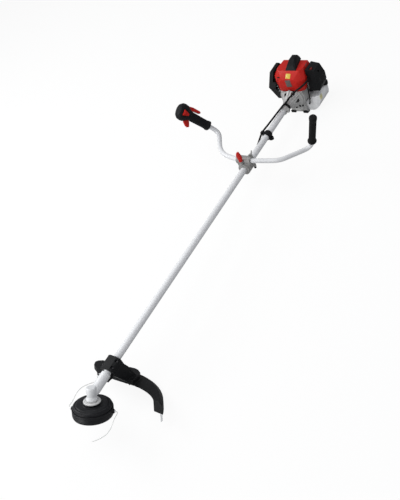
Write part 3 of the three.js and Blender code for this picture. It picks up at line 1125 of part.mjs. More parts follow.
put(shaftGroup, 'gearbox_housing', gearboxHousing(), silver);
put(shaftGroup, 'bevel_pinion', bevelPinion(), steel);
put(headGroup, 'bevel_gear', bevelGear(), steel);
put(headGroup, 'output_shaft', outputShaftPiece(), steel);
put(headGroup, 'output_bearing', outputBearing(), steel);

put(headGroup, 'holder_flange', holderFlange(), casting);
put(headGroup, 'head_cover', headCover(), black);
put(headGroup, 'head_drum', headDrum(), black);
put(headGroup, 'line_spool', lineSpool(), red);
put(headGroup, 'bump_spring', bumpSpring(), steel);
put(headGroup, 'bump_knob', bumpKnob(), black);
['front', 'rear'].forEach((name, side) => {
  put(headGroup, `line_end_${name}`, lineEnd(side), nylon);
  put(headGroup, `line_eyelet_${name}`, lineEyelet(side), casting);
});

put(shaftGroup, 'debris_shield', debrisShield(), black);
put(shaftGroup, 'shield_clamp', shieldClamp(), black);
put(headGroup, 'line_cutter', lineCutter(), steel);

put(shaftGroup, 'hanger_clamp', hangerClamp(), black);
put(shaftGroup, 'handle_clamp_base', handleClampBase(), casting);
put(shaftGroup, 'handle_clamp_cap', handleClampCap(), casting);
put(shaftGroup, 'clamp_wing_bolt', clampWingBolt(), casting);
put(shaftGroup, 'wing_knob', wingKnobPiece(), red);

put(leftArm, 'handlebar_left', handlebar(1), silver);
put(leftGripFrame, 'plain_grip', plainGripPiece(), rubber);
put(rightArm, 'handlebar_right', handlebar(-1), silver);
put(rightGripFrame, 'throttle_grip_inner', gripHalf(1), black);
put(rightGripFrame, 'throttle_grip_outer', gripHalf(-1), black);
put(rightGripFrame, 'throttle_trigger', throttleTrigger(), red);
put(rightGripFrame, 'lockout_lever', lockoutLever(), red);
put(rightGripFrame, 'stop_switch', stopSwitch(), red);
put(shaftGroup, 'throttle_cable', throttleCable(), rubber);
put(rightArm, 'throttle_cable_handle', armCable(), rubber);

put(shaftGroup, 'tube_collar', tubeCollar(), casting);
put(shaftGroup, 'av_ring', avRingPiece(), rubber);
put(shaftGroup, 'clutch_housing', clutchHousingPiece(), casting);
put(shaftGroup, 'clutch_drum', clutchDrum(), steel);
put(shaftGroup, 'flywheel', flywheel(), casting);
put(shaftGroup, 'crankcase', crankcasePiece(), casting);
put(shaftGroup, 'cylinder', cylinderPiece(), casting);
put(shaftGroup, 'spark_plug', sparkPlug(), black);
put(shaftGroup, 'engine_cover', engineCover(), red);
put(shaftGroup, 'plug_cover', plugCover(), black);
put(shaftGroup, 'muffler', mufflerPiece(), sooty);
put(shaftGroup, 'muffler_guard', mufflerGuard(), black);
put(shaftGroup, 'carburettor', carburettorPiece(), casting);
put(shaftGroup, 'filter_cover', filterCover(), black);
put(shaftGroup, 'choke_lever', chokeLever(), red);
put(shaftGroup, 'fuel_tank', tankPiece(), translucent);
put(shaftGroup, 'fuel_cap', fuelCapPiece(), black);
put(shaftGroup, 'fuel_line', fuelLine(), rubber);
put(shaftGroup, 'starter_housing', starterHousing(), black);
put(shaftGroup, 'starter_handle', starterHandle(), black);
put(shaftGroup, 'engine_stand', engineStand(), casting);
put(shaftGroup, 'stand_pad', standPad(), rubber);

export default trimmer;
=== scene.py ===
from math import cos, pi, radians, sin

import bmesh
import bpy
import numpy as np
from mathutils import Matrix, Vector


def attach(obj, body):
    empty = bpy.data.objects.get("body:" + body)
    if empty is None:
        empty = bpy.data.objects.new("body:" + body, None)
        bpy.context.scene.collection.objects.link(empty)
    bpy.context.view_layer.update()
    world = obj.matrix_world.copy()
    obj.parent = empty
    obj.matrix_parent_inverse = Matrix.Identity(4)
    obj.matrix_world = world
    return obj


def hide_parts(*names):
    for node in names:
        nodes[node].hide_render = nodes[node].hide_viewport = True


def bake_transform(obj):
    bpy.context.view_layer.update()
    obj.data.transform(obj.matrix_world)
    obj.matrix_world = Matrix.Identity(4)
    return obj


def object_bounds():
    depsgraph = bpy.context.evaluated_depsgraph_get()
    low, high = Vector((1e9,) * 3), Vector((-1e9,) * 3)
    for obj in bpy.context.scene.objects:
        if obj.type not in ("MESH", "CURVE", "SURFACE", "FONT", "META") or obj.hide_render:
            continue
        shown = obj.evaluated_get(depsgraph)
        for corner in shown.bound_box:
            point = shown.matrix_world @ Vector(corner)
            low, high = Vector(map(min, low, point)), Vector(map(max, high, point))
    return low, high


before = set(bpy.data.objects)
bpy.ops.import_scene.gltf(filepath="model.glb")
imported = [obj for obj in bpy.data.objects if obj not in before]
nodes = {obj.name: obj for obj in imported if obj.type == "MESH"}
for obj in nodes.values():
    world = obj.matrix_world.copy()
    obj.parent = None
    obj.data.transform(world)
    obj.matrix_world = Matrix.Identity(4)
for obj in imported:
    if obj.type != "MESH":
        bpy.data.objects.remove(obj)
cadLow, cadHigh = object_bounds()
print("frame loaded with", len(nodes), "nodes")

# Frames: the shaft's has y on the tube's axis and starts where the head's axis crosses it.
shaftFrame = {"lean": 0.058243, "origin": (0, 1.581, -0.0965), "headTilt": radians(32)}
barFrame = {"middle": (0, 1.115, 0.0306), "twist": radians(12.9)}
barBends = {
    "first": {1: (0.1416, 0.028, -0.013), -1: (0.1416, 0.028, -0.0191)},
    "second": (0.2209, 0.1522, -0.041),
    "end": (0.2944, 0.1088, 0.1487),
    "trims": {1: (0.003, 0.030, 0.04), -1: (0.003, 0.060, 0.04)},
    "radius": 0.0095,
    "edge": 0.0006,
}


def unit(vector):
    return np.asarray(vector, float) / np.linalg.norm(vector)


def turnX(angle):
    return np.array([[1, 0, 0], [0, cos(angle), -sin(angle)], [0, sin(angle), cos(angle)]])


def fromShaft(points):
    return (np.asarray(points, float) - shaftFrame["origin"]) @ turnX(-shaftFrame["lean"]).T


def fromHead(points):
    return fromShaft(np.asarray(points, float) @ turnX(-shaftFrame["headTilt"]).T)


def fromArm(points, side):
    turn = 0 if side > 0 else barFrame["twist"]
    return fromShaft(np.asarray(points, float) @ turnX(turn).T + barFrame["middle"])


# Local z runs up the bar from its second bend, x points inboard and y towards the operator.
def fromGrip(points, side):
    bend, end = (np.array(barBends[key]) * (side, 1, 1) for key in ("second", "end"))
    up = unit(end - bend)
    inboard = unit(np.array([-side, 0, 0]) + side * up[0] * up)
    axes = np.stack([inboard, np.cross(up, inboard), up])
    return fromArm(np.asarray(points, float) @ axes + bend, side)


# Camera
cameraSettings = {
    "place": (1.4681196, -0.5066904, 1.6684476),
    "turn": (0.65111411, 0.53100119, 0.37991227),
    "lens": 48.37,
}


def addCamera(settings):
    data = bpy.data.cameras.new("viewCamera")
    data.lens = settings["lens"]
    data.sensor_width = 36
    camera = bpy.data.objects.new("viewCamera", data)
    bpy.context.collection.objects.link(camera)
    turn = Vector(settings["turn"])
    leaning = Matrix.Rotation(-shaftFrame["lean"], 4, "X")
    camera.matrix_world = (
        Matrix.Translation(fromShaft(settings["place"]).tolist())
        @ leaning
        @ Matrix.Rotation(turn.length, 4, turn.normalized())
    )
    bpy.context.scene.camera = camera


addCamera(cameraSettings)


# A closed shell from a grid of points: rows go along it, columns round it, and a fan closes each end.
# Its faces point out where the sum of the faces' corner products, its volume, is positive.
def shell(grid, closeRows=False):
    rows, columns = grid.shape[:2]
    index = np.arange(rows * columns).reshape(rows, columns)
    if closeRows:
        index = np.vstack([index, index[:1]])
    beside = np.roll(index, -1, axis=1)
    quads = np.stack([index[:-1], beside[:-1], beside[1:], index[1:]], -1).reshape(-1, 4)
    vertices = grid.reshape(-1, 3)
    faces = [quads]
    if not closeRows:
        middles = np.stack([grid[0].mean(0), grid[-1].mean(0)])
        vertices = np.vstack([vertices, middles])
        first = np.stack([beside[0], index[0], np.full(columns, rows * columns)], -1)
        last = np.stack([index[-1], beside[-1], np.full(columns, rows * columns + 1)], -1)
        faces += [first, last]
    triangles = np.vstack([quads[:, [0, 1, 2]], quads[:, [0, 2, 3]]] + faces[1:])
    a, b, c = (vertices[triangles[:, i]] for i in range(3))
    if np.einsum("ij,ij->i", a, np.cross(b, c)).sum() < 0:
        faces = [part[:, ::-1] for part in faces]
    return vertices, [face for part in faces for face in part.tolist()]


# Quadratic arcs, one a row: a(1-t)^2 + 2b t(1-t) + c t^2.
def arcsFrom(a, b, c, steps):
    t = np.linspace(0, 1, steps)[None, :, None]
    return a[:, None] * (1 - t) ** 2 + 2 * b[:, None] * t * (1 - t) + c[:, None] * t**2


# A polyline with each corner replaced by a quadratic arc.
def rounded(profile, radius, steps=4, closed=True):
    p = np.asarray(profile, float)
    before, after = np.roll(p, 1, 0) - p, np.roll(p, -1, 0) - p
    reach = [np.linalg.norm(side, axis=1) for side in (before, after)]
    trim = np.minimum(radius, 0.45 * np.minimum(*reach))[:, None]
    start, stop = (p + side / length[:, None] * trim for side, length in zip((before, after), reach))
    arcs = arcsFrom(start, p, stop, steps)
    if closed:
        return arcs.reshape(-1, p.shape[1])
    return np.vstack([p[:1], arcs[1:-1].reshape(-1, p.shape[1]), p[-1:]])


# A profile of (radius, height) turned about an axis: (r cos a, r sin a, h), with h on y or on z.
def turned(profile, axis, sides=64):
    p = np.asarray(profile, float)
    a = np.arange(sides) / sides * 2 * pi
    r, h = p[:, :1], np.repeat(p[:, 1:], sides, 1)
    x, z = r * np.cos(a), r * np.sin(a)
    return np.stack([x, h, z] if axis == "y" else [x, z, h], -1)


def rectangle(left, right, low, high):
    return [(left, low), (right, low), (right, high), (left, high)]


# Round sections of a given radius carried along a path, square to its tangent.
def carried(path, radius, sides=16):
    p = np.asarray(path, float)
    tangent = np.gradient(p, axis=0)
    tangent /= np.linalg.norm(tangent, axis=1)[:, None]
    aside = np.linalg.svd(tangent)[2][-1]
    across = aside - (tangent @ aside)[:, None] * tangent
    across /= np.linalg.norm(across, axis=1)[:, None]
    beside = np.cross(tangent, across)
    a = (np.arange(sides) / sides * 2 * pi)[None, :, None]
    r = np.broadcast_to(np.asarray(radius, float), len(p))[:, None, None]
    return p[:, None] + r * (across[:, None] * np.cos(a) + beside[:, None] * np.sin(a))


# A centripetal Catmull-Rom line: each span is a cubic with tangents from uneven chord steps.
def smoothPath(points, perSpan=8):
    p = np.asarray(points, float)
    p = np.vstack([2 * p[0] - p[1], p, 2 * p[-1] - p[-2]])
    a, b, c, d = (p[i : len(p) - 3 + i, None] for i in range(4))
    u, v, w = (np.sqrt(np.linalg.norm(q - o, axis=2))[..., None] for o, q in ((a, b), (b, c), (c, d)))
    leaving = ((b - a) / u - (c - a) / (u + v) + (c - b) / v) * v
    arriving = ((c - b) / v - (d - b) / (v + w) + (d - c) / w) * v
    t = (np.arange(perSpan) / perSpan)[None, :, None]
    spans = (
        b * (2 * t**3 - 3 * t**2 + 1)
        + leaving * (t**3 - 2 * t**2 + t)
        + c * (3 * t**2 - 2 * t**3)
        + arriving * (t**3 - t**2)
    )
    return np.vstack([spans.reshape(-1, 3), p[-2]])


# Straight runs joined by quadratic bends that start a given trim before each corner.
def bentPath(points, trims, steps=18, perRun=6):
    p = np.asarray(points, float)
    trim = np.asarray(trims)[:, None]
    middle = p[1:-1]
    toBefore, toAfter = p[:-2] - middle, p[2:] - middle
    start = middle + toBefore / np.linalg.norm(toBefore, axis=1)[:, None] * trim
    stop = middle + toAfter / np.linalg.norm(toAfter, axis=1)[:, None] * trim
    bends = arcsFrom(start, middle, stop, steps)
    froms, tos = np.vstack([p[:1], stop]), np.vstack([start, p[-1:]])
    s = np.linspace(0, 1, perRun + 2)[1:-1][None, :, None]
    runs = froms[:, None] * (1 - s) + tos[:, None] * s
    body = np.concatenate([runs[:-1], bends], 1).reshape(-1, 3)
    return np.vstack([p[:1], body, runs[-1], p[-1:]])


# A rod between two points with softened ends.
def rod(start, stop, radius, sides=24, edge=0.0004):
    start, stop = np.asarray(start, float), np.asarray(stop, float)
    along = unit(stop - start)
    path = np.stack([start, start + along * edge, stop - along * edge, stop])
    return carried(path, (radius - edge, radius, radius, radius - edge), sides)


def meshFrom(name, shells):
    vertices, faces, count = [], [], 0
    for points, parts in shells:
        vertices.append(points)
        faces += [[corner + count for corner in face] for face in parts]
        count += len(points)
    mesh = bpy.data.meshes.new(name)
    mesh.from_pydata(np.vstack(vertices).tolist(), [], faces)
    mesh.update()
    return mesh


# A new object: its finish, the body that it rides on, the CAD nodes that it stands for, and the angle
# above which its edges stay sharp.
def pieceFrom(name, mesh, finish, body, stands=(), sharp=40):
    mesh.materials.clear()
    mesh.materials.append(finishes[finish])
    mesh.shade_smooth()
    mesh.set_sharp_from_angle(angle=radians(sharp))
    piece = bpy.data.objects.new(name, mesh)
    bpy.context.collection.objects.link(piece)
    if body:
        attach(piece, body)
    if stands:
        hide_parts(*stands)
    return piece


def addPiece(name, grids, finish, body, stands=(), sharp=40, closeRows=False):
    shells = [shell(grid, closeRows) if isinstance(grid, np.ndarray) else grid for grid in grids]
    return pieceFrom(name, meshFrom(name, shells), finish, body, stands, sharp)


# A CAD node's shape with its loose triangles merged and its flat faces joined up.
def mergedCopy(node, posts=()):
    mesh = nodes[node].data.copy()
    form = bmesh.new()
    form.from_mesh(mesh)
    bmesh.ops.remove_doubles(form, verts=form.verts, dist=1e-5)
    bmesh.ops.dissolve_limit(form, angle_limit=radians(0.5), verts=form.verts, edges=form.edges)
    if posts:
        form.from_mesh(meshFrom(node + "_posts", [shell(grid) for grid in posts]))
    form.to_mesh(mesh)
    form.free()
    return mesh


# Edges are rounded over by a remesh at a small grid and then some rounds of smoothing.
def addSoftening(piece, grid, rounds):
    remesh = piece.modifiers.new("even", "REMESH")
    remesh.mode = "VOXEL"
    remesh.voxel_size = grid
    remesh.use_smooth_shade = True
    soften = piece.modifiers.new("soften", "SMOOTH")
    soften.factor = 0.5
    soften.iterations = rounds


# A CAD node's shape, softened. Posts are solid shapes that join it before the remesh.
def softened(node, finish, body, grid, rounds, posts=()):
    piece = pieceFrom(node + "_form", mergedCopy(node, posts), finish, body, (node,))
    addSoftening(piece, grid, rounds)
    graph = bpy.context.evaluated_depsgraph_get()
    done = bpy.data.meshes.new_from_object(piece.evaluated_get(graph))
    piece.modifiers.clear()
    piece.data = done
    done.name = piece.name
    if not done.materials:
        done.materials.append(finishes[finish])
    return piece


# The CAD's turned forms have n flat sides, so at an angle w from a side's middle their radius is
# R cos(pi/n) / cos(w). Every point is moved out by the inverse of that, which makes them round.
def trued(piece, sides, axis="y", middle=(0, 0), within=1.0):
    mesh = piece.data
    flat = np.empty(len(mesh.vertices) * 3)
    mesh.vertices.foreach_get("co", flat)
    toPiece = turnX(-shaftFrame["lean"])
    p = flat.reshape(-1, 3) @ toPiece + shaftFrame["origin"]
    first, second = (0, 2) if axis == "y" else (0, 1)
    x, z = p[:, first] - middle[0], p[:, second] - middle[1]
    phase = np.arctan2(x, z) if axis == "y" else np.arctan2(x, -z)
    w = np.mod(phase, 2 * pi / sides) - pi / sides
    more = np.where(np.hypot(x, z) < within, np.cos(w) / cos(pi / sides), 1.0)
    p[:, first], p[:, second] = middle[0] + x * more, middle[1] + z * more
    done = (p - shaftFrame["origin"]) @ toPiece.T
    mesh.vertices.foreach_set("co", done.astype(np.float32).ravel())
    mesh.update()


bevelSettings = {"angle": 12, "segments": 2, "sharp": 30}


# A CAD node's shape with every edge that bends by more than the angle bevelled to a width.
def bevelled(node, finish, body, width):
    piece = pieceFrom(node + "_form", mergedCopy(node), finish, body, (node,), sharp=bevelSettings["sharp"])
    edge = piece.modifiers.new("edges", "BEVEL")
    edge.width = width
    edge.segments = bevelSettings["segments"]
    edge.limit_method = "ANGLE"
    edge.angle_limit = radians(bevelSettings["angle"])
    edge.miter_outer = "MITER_ARC"


# Finishes
def groupSockets(name, inputs, outputs):
    group = bpy.data.node_groups.new(name, "ShaderNodeTree")
    for label, kind, value in inputs:
        socket = group.interface.new_socket(label, in_out="INPUT", socket_type=kind)
        socket.default_value = value
    for label, kind in outputs:
        group.interface.new_socket(label, in_out="OUTPUT", socket_type=kind)
    return group, group.nodes.new("NodeGroupInput"), group.nodes.new("NodeGroupOutput")


def addNode(tree, kind, **values):
    node = tree.nodes.new(kind)
    for key, value in values.items():
        if key.startswith("in_"):
            node.inputs[key[3:].replace("_", " ")].default_value = value
        else:
            setattr(node, key, value)
    return node


def spread(tree, value, low, high, newLow, newHigh):
    node = addNode(tree, "ShaderNodeMapRange")
    tree.links.new(value, node.inputs["Value"])
    for key, number in zip(("From Min", "From Max", "To Min", "To Max"), (low, high, newLow, newHigh)):
        node.inputs[key].default_value = number
    return node.outputs[0]


def product(tree, a, b, operation="MULTIPLY"):
    node = addNode(tree, "ShaderNodeMath", operation=operation)
    for socket, value in zip(node.inputs, (a, b)):
        if isinstance(value, (int, float)):
            socket.default_value = value
        else:
            tree.links.new(value, socket)
    return node.outputs[0]


def mixed(tree, factor, a, b):
    node = addNode(tree, "ShaderNodeMix", data_type="RGBA")
    for index, value in ((0, factor), (6, a), (7, b)):
        if isinstance(value, (int, float, tuple)):
            node.inputs[index].default_value = value
        else:
            tree.links.new(value, node.inputs[index])
    return node.outputs[2]


# Fine grain, soft blotches, streaks along one axis, and dust that lies on upward faces.
def buildSurfaceMarks():
    group, entry, leave = groupSockets(
        "surfaceMarks",
        [
            ("Grain Size", "NodeSocketFloat", 900.0),
            ("Blotch Size", "NodeSocketFloat", 14.0),
            ("Stretch", "NodeSocketVector", (300.0, 6.0, 300.0)),
        ],
        [(label, "NodeSocketFloat") for label in ("Grain", "Blotch", "Streak", "Dust")],
    )
    link = group.links.new
    place = addNode(group, "ShaderNodeTexCoord").outputs["Object"]
    grain = addNode(group, "ShaderNodeTexNoise", in_Detail=3.0)
    blotch = addNode(group, "ShaderNodeTexNoise", in_Detail=5.0, in_Roughness=0.62)
    streak = addNode(group, "ShaderNodeTexNoise", in_Detail=4.0, in_Scale=1.0)
    stretch = addNode(group, "ShaderNodeMapping")
    link(place, grain.inputs["Vector"])
    link(place, blotch.inputs["Vector"])
    link(place, stretch.inputs["Vector"])
    link(entry.outputs["Stretch"], stretch.inputs["Scale"])
    link(stretch.outputs[0], streak.inputs["Vector"])
    link(entry.outputs["Grain Size"], grain.inputs["Scale"])
    link(entry.outputs["Blotch Size"], blotch.inputs["Scale"])
    facing = addNode(group, "ShaderNodeSeparateXYZ")
    link(addNode(group, "ShaderNodeNewGeometry").outputs["Normal"], facing.inputs[0])
    upward = spread(group, facing.outputs["Z"], 0.1, 1.0, 0.0, 1.0)
    speckle = spread(group, grain.outputs[0], 0.42, 0.72, 0.25, 1.0)
    settled = product(group, spread(group, blotch.outputs[0], 0.35, 0.75, 0.0, 1.0), speckle)
    link(grain.outputs[0], leave.inputs["Grain"])
    link(spread(group, blotch.outputs[0], 0.3, 0.7, 0.0, 1.0), leave.inputs["Blotch"])
    link(spread(group, streak.outputs[0], 0.3, 0.7, 0.0, 1.0), leave.inputs["Streak"])
    link(product(group, upward, settled), leave.inputs["Dust"])
    return group


# Rubbed edges: where the rounded normal turns away from the face's own, broken up by noise.
def buildEdgeRub():
    group, entry, leave = groupSockets(
        "edgeRub",
        [("Width", "NodeSocketFloat", 0.0015), ("Patchiness", "NodeSocketFloat", 60.0)],
        [("Rub", "NodeSocketFloat")],
    )
    link = group.links.new
    soft = addNode(group, "ShaderNodeBevel", samples=4)
    link(entry.outputs["Width"], soft.inputs["Radius"])
    turn = addNode(group, "ShaderNodeVectorMath", operation="DOT_PRODUCT")
    link(soft.outputs[0], turn.inputs[0])
    link(addNode(group, "ShaderNodeNewGeometry").outputs["Normal"], turn.inputs[1])
    edge = spread(group, turn.outputs["Value"], 0.985, 0.8, 0.0, 1.0)
    noise = addNode(group, "ShaderNodeTexNoise", in_Detail=4.0)
    link(addNode(group, "ShaderNodeTexCoord").outputs["Object"], noise.inputs["Vector"])
    link(entry.outputs["Patchiness"], noise.inputs["Scale"])
    link(product(group, edge, spread(group, noise.outputs[0], 0.4, 0.62, 0.0, 1.0)), leave.inputs["Rub"])
    return group


surfaceMarks = buildSurfaceMarks()
edgeRub = buildEdgeRub()
dustColour = (0.5, 0.47, 0.42, 1)
grainDepth = 0.00003  # of a finish that names none


# One finish: two close shades in blotches, streaks, rubbed edges, dust, and grain in the bump.
def makeFinish(name, look):
    material = bpy.data.materials.new(name)
    material.use_nodes = True
    tree = material.node_tree
    shader = tree.nodes["Principled BSDF"]
    marks = addNode(tree, "ShaderNodeGroup", node_tree=surfaceMarks)
    marks.inputs["Grain Size"].default_value = look["grainSize"]
    marks.inputs["Blotch Size"].default_value = look["blotchSize"]
    if "stretch" in look:
        marks.inputs["Stretch"].default_value = look["stretch"]
    colour = mixed(tree, marks.outputs["Blotch"], (*look["colour"], 1), (*look["shade"], 1))
    if look.get("streaks"):
        amount = product(tree, marks.outputs["Streak"], look["streaks"])
        colour = mixed(tree, amount, colour, (*look["streakColour"], 1))
    if look.get("rub"):
        rub = addNode(tree, "ShaderNodeGroup", node_tree=edgeRub)
        amount = product(tree, rub.outputs["Rub"], look["rub"])
        colour = mixed(tree, amount, colour, (*look["rubColour"], 1))
    if look.get("dust"):
        amount = product(tree, marks.outputs["Dust"], look["dust"])
        colour = mixed(tree, amount, colour, dustColour)
    tree.links.new(colour, shader.inputs["Base Color"])
    low, high = look["roughness"]
    source = marks.outputs["Streak" if look.get("streaks") else "Blotch"]
    tree.links.new(spread(tree, source, 0.0, 1.0, low, high), shader.inputs["Roughness"])
    shader.inputs["Metallic"].default_value = look.get("metallic", 0)
    for key, value in look.get("sockets", {}).items():
        shader.inputs[key].default_value = value
    bump = addNode(tree, "ShaderNodeBump", in_Strength=look["bump"], in_Distance=look.get("depth", grainDepth))
    tree.links.new(marks.outputs["Grain"], bump.inputs["Height"])
    tree.links.new(bump.outputs[0], shader.inputs["Normal"])
    return material


finishLooks = {
    "tubePaint": {
        "colour": (0.735, 0.742, 0.755), "shade": (0.71, 0.718, 0.732), "roughness": (0.44, 0.52),
        "grainSize": 2600, "bump": 0.01, "blotchSize": 9, "stretch": (260, 5, 260),
        "streaks": 0.175, "streakColour": (0.755, 0.762, 0.775), "dust": 0.02,
        "sockets": {"Specular IOR Level": 0.3},
    },
    "gearboxPaint": {
        "colour": (0.74, 0.75, 0.76), "shade": (0.70, 0.71, 0.72), "roughness": (0.32, 0.46),
        "grainSize": 1100, "bump": 0.05, "depth": 0.00006, "blotchSize": 30, "rub": 0.12,
        "rubColour": (0.80, 0.80, 0.81), "dust": 0.03,
    },
    "castAlloy": {
        "colour": (0.47, 0.47, 0.46), "shade": (0.38, 0.38, 0.375), "roughness": (0.38, 0.55),
        "metallic": 0.5, "grainSize": 1300, "bump": 0.12, "depth": 0.00009, "blotchSize": 35, "rub": 0.2,
        "rubColour": (0.66, 0.66, 0.65), "dust": 0.04,
    },
    "lightCasting": {
        "colour": (0.46, 0.46, 0.45), "shade": (0.40, 0.40, 0.395), "roughness": (0.36, 0.5),
        "metallic": 0.15, "grainSize": 1300, "bump": 0.08, "depth": 0.00009, "blotchSize": 35, "rub": 0.12,
        "rubColour": (0.74, 0.74, 0.73), "dust": 0.03,
    },
    "clampCasting": {
        "colour": (0.31, 0.305, 0.295), "shade": (0.26, 0.256, 0.25), "roughness": (0.42, 0.56),
        "metallic": 0.1, "grainSize": 1300, "bump": 0.06, "depth": 0.00006, "blotchSize": 35, "rub": 0.1,
        "rubColour": (0.5, 0.5, 0.49), "dust": 0.02,
    },
    "flangePaint": {
        "colour": (0.66, 0.66, 0.655), "shade": (0.60, 0.60, 0.595), "roughness": (0.28, 0.42),
        "metallic": 0.1, "grainSize": 1500, "bump": 0.04, "blotchSize": 30, "dust": 0.03,
    },
    "brightSteel": {
        "colour": (0.52, 0.53, 0.54), "shade": (0.44, 0.45, 0.46), "roughness": (0.22, 0.4),
        "metallic": 0.95, "grainSize": 2000, "bump": 0.068, "blotchSize": 60, "stretch": (900, 30, 900),
        "streaks": 0.2, "streakColour": (0.62, 0.62, 0.63),
    },
    "blackSteel": {
        "colour": (0.018, 0.018, 0.020), "shade": (0.028, 0.028, 0.030), "roughness": (0.3, 0.45),
        "metallic": 0.6, "grainSize": 1600, "bump": 0.09, "blotchSize": 50, "rub": 0.3,
        "rubColour": (0.12, 0.12, 0.125),
    },
    "blackPlastic": {
        "colour": (0.0065, 0.007, 0.0078), "shade": (0.009, 0.0095, 0.0105), "roughness": (0.42, 0.54),
        "grainSize": 1500, "bump": 0.05, "depth": 0.00006, "blotchSize": 22, "rub": 0.12,
        "rubColour": (0.035, 0.036, 0.04), "dust": 0.012,
        "sockets": {"Specular IOR Level": 0.11},
    },
    "glossyBlack": {
        "colour": (0.0065, 0.007, 0.0085), "shade": (0.0085, 0.009, 0.011), "roughness": (0.38, 0.48),
        "grainSize": 2200, "bump": 0.02, "blotchSize": 25, "rub": 0.1,
        "rubColour": (0.03, 0.032, 0.036), "dust": 0.01,
        "sockets": {"Specular IOR Level": 0.2},
    },
    "blackRubber": {
        "colour": (0.006, 0.006, 0.0066), "shade": (0.0085, 0.0085, 0.009), "roughness": (0.55, 0.75),
        "grainSize": 1800, "bump": 0.08, "depth": 0.00009, "blotchSize": 40, "dust": 0.02,
        "sockets": {"Specular IOR Level": 0.12},
    },
    "gripRubber": {
        "colour": (0.006, 0.0062, 0.0075), "shade": (0.008, 0.0085, 0.010), "roughness": (0.42, 0.58),
        "grainSize": 1900, "bump": 0.09, "depth": 0.00009, "blotchSize": 30, "rub": 0.12,
        "rubColour": (0.04, 0.043, 0.052), "dust": 0.02,
        "sockets": {"Specular IOR Level": 0.13},
    },
    "redPlastic": {
        "colour": (0.50, 0.0125, 0.0075), "shade": (0.45, 0.0105, 0.0065), "roughness": (0.38, 0.48),
        "grainSize": 700, "bump": 0.027, "depth": 0.00006, "blotchSize": 12, "rub": 0.12,
        "rubColour": (0.56, 0.05, 0.04), "dust": 0.015,
        "sockets": {"Specular IOR Level": 0.2, "Coat Weight": 0.04, "Coat Roughness": 0.2},
    },
    "darkRed": {
        "colour": (0.16, 0.010, 0.008), "shade": (0.13, 0.008, 0.007), "roughness": (0.35, 0.5),
        "grainSize": 900, "bump": 0.04, "depth": 0.00006, "blotchSize": 30, "rub": 0.2,
        "rubColour": (0.3, 0.05, 0.04), "dust": 0.04, "sockets": {"Specular IOR Level": 0.3},
    },
    "tankPlastic": {
        "colour": (0.93, 0.935, 0.94), "shade": (0.90, 0.907, 0.915), "roughness": (0.34, 0.46),
        "grainSize": 900, "bump": 0.068, "depth": 0.00006, "blotchSize": 9, "rub": 0.2,
        "rubColour": (0.88, 0.885, 0.89), "dust": 0.02,
        "sockets": {"Specular IOR Level": 0.35},
    },
    "nylonLine": {
        "colour": (0.93, 0.94, 0.92), "shade": (0.90, 0.91, 0.89), "roughness": (0.35, 0.5),
        "grainSize": 1500, "bump": 0.045, "blotchSize": 60,
        "sockets": {"Specular IOR Level": 0.2},
    },
    "brassTone": {
        "colour": (0.52, 0.34, 0.12), "shade": (0.42, 0.27, 0.09), "roughness": (0.3, 0.48),
        "metallic": 0.9, "grainSize": 1600, "bump": 0.068, "blotchSize": 50,
    },
    "hotSteel": {
        "colour": (0.045, 0.042, 0.040), "shade": (0.10, 0.075, 0.055), "roughness": (0.45, 0.7),
        "metallic": 0.6, "grainSize": 900, "bump": 0.18, "depth": 0.00009, "blotchSize": 28, "rub": 0.25,
        "rubColour": (0.25, 0.22, 0.2), "dust": 0.08,
    },
    "yellowVinyl": {
        "colour": (0.62, 0.44, 0.03), "shade": (0.57, 0.40, 0.025), "roughness": (0.3, 0.42),
        "grainSize": 1200, "bump": 0.036, "blotchSize": 60, "rub": 0.25,
        "rubColour": (0.8, 0.7, 0.35), "dust": 0.04,
    },
    "greyVinyl": {
        "colour": (0.115, 0.09, 0.083), "shade": (0.09, 0.07, 0.066), "roughness": (0.25, 0.45),
        "metallic": 0.1, "grainSize": 1400, "bump": 0.054, "blotchSize": 55, "rub": 0.25,
        "rubColour": (0.25, 0.2, 0.19), "stretch": (40, 900, 40), "streaks": 0.2,
        "streakColour": (0.15, 0.13, 0.12),
    },
    "paleYellowVinyl": {
        "colour": (0.76, 0.72, 0.38), "shade": (0.70, 0.66, 0.34), "roughness": (0.3, 0.42),
        "grainSize": 1200, "bump": 0.036, "blotchSize": 60, "rub": 0.25,
        "rubColour": (0.8, 0.78, 0.55), "dust": 0.04,
    },
}
finishes = {name: makeFinish(name, look) for name, look in finishLooks.items()}
print("finishes made:", len(finishes))

nodeFinishes = {
    "brightSteel": ["drive_shaft", "bevel_pinion", "bevel_gear", "output_shaft", "output_bearing",
                    "line_cutter", "clutch_drum"],
    "brassTone": ["shaft_bush_front", "shaft_bush_middle", "shaft_bush_rear"],
    "castAlloy": ["flywheel", "cylinder", "carburettor", "line_eyelet_front", "line_eyelet_rear"],
    "darkRed": ["line_spool"],
    "blackRubber": ["spark_plug"],
    "hotSteel": ["muffler"],
}
for finish, names in nodeFinishes.items():
    for name in names:
        for materialSlot in nodes[name].material_slots:
            materialSlot.material = finishes[finish]


# Cutting line
lineSettings = {
    "route": [(0, 0), (4, -0.4), (8, -3), (10.5, -8), (11.2, -14), (10.8, -22), (10.2, -32), (10.4, -44),
              (11.6, -58), (13.4, -74), (14.6, -90), (14.3, -107), (10.8, -130.7), (-0.7, -152),
              (-20.7, -173.3)],
    "start": 0.0763,
    "bearing": radians(26.6),
    "height": -0.053,
    "diameter": 0.0024,
}


# The way out of the head at an eyelet, the way beside it, and up.
def eyeletAxes(side):
    turn = lineSettings["bearing"] + side * pi
    return np.array([[cos(turn), sin(turn), 0], [-sin(turn), cos(turn), 0], [0, 0, 1]])


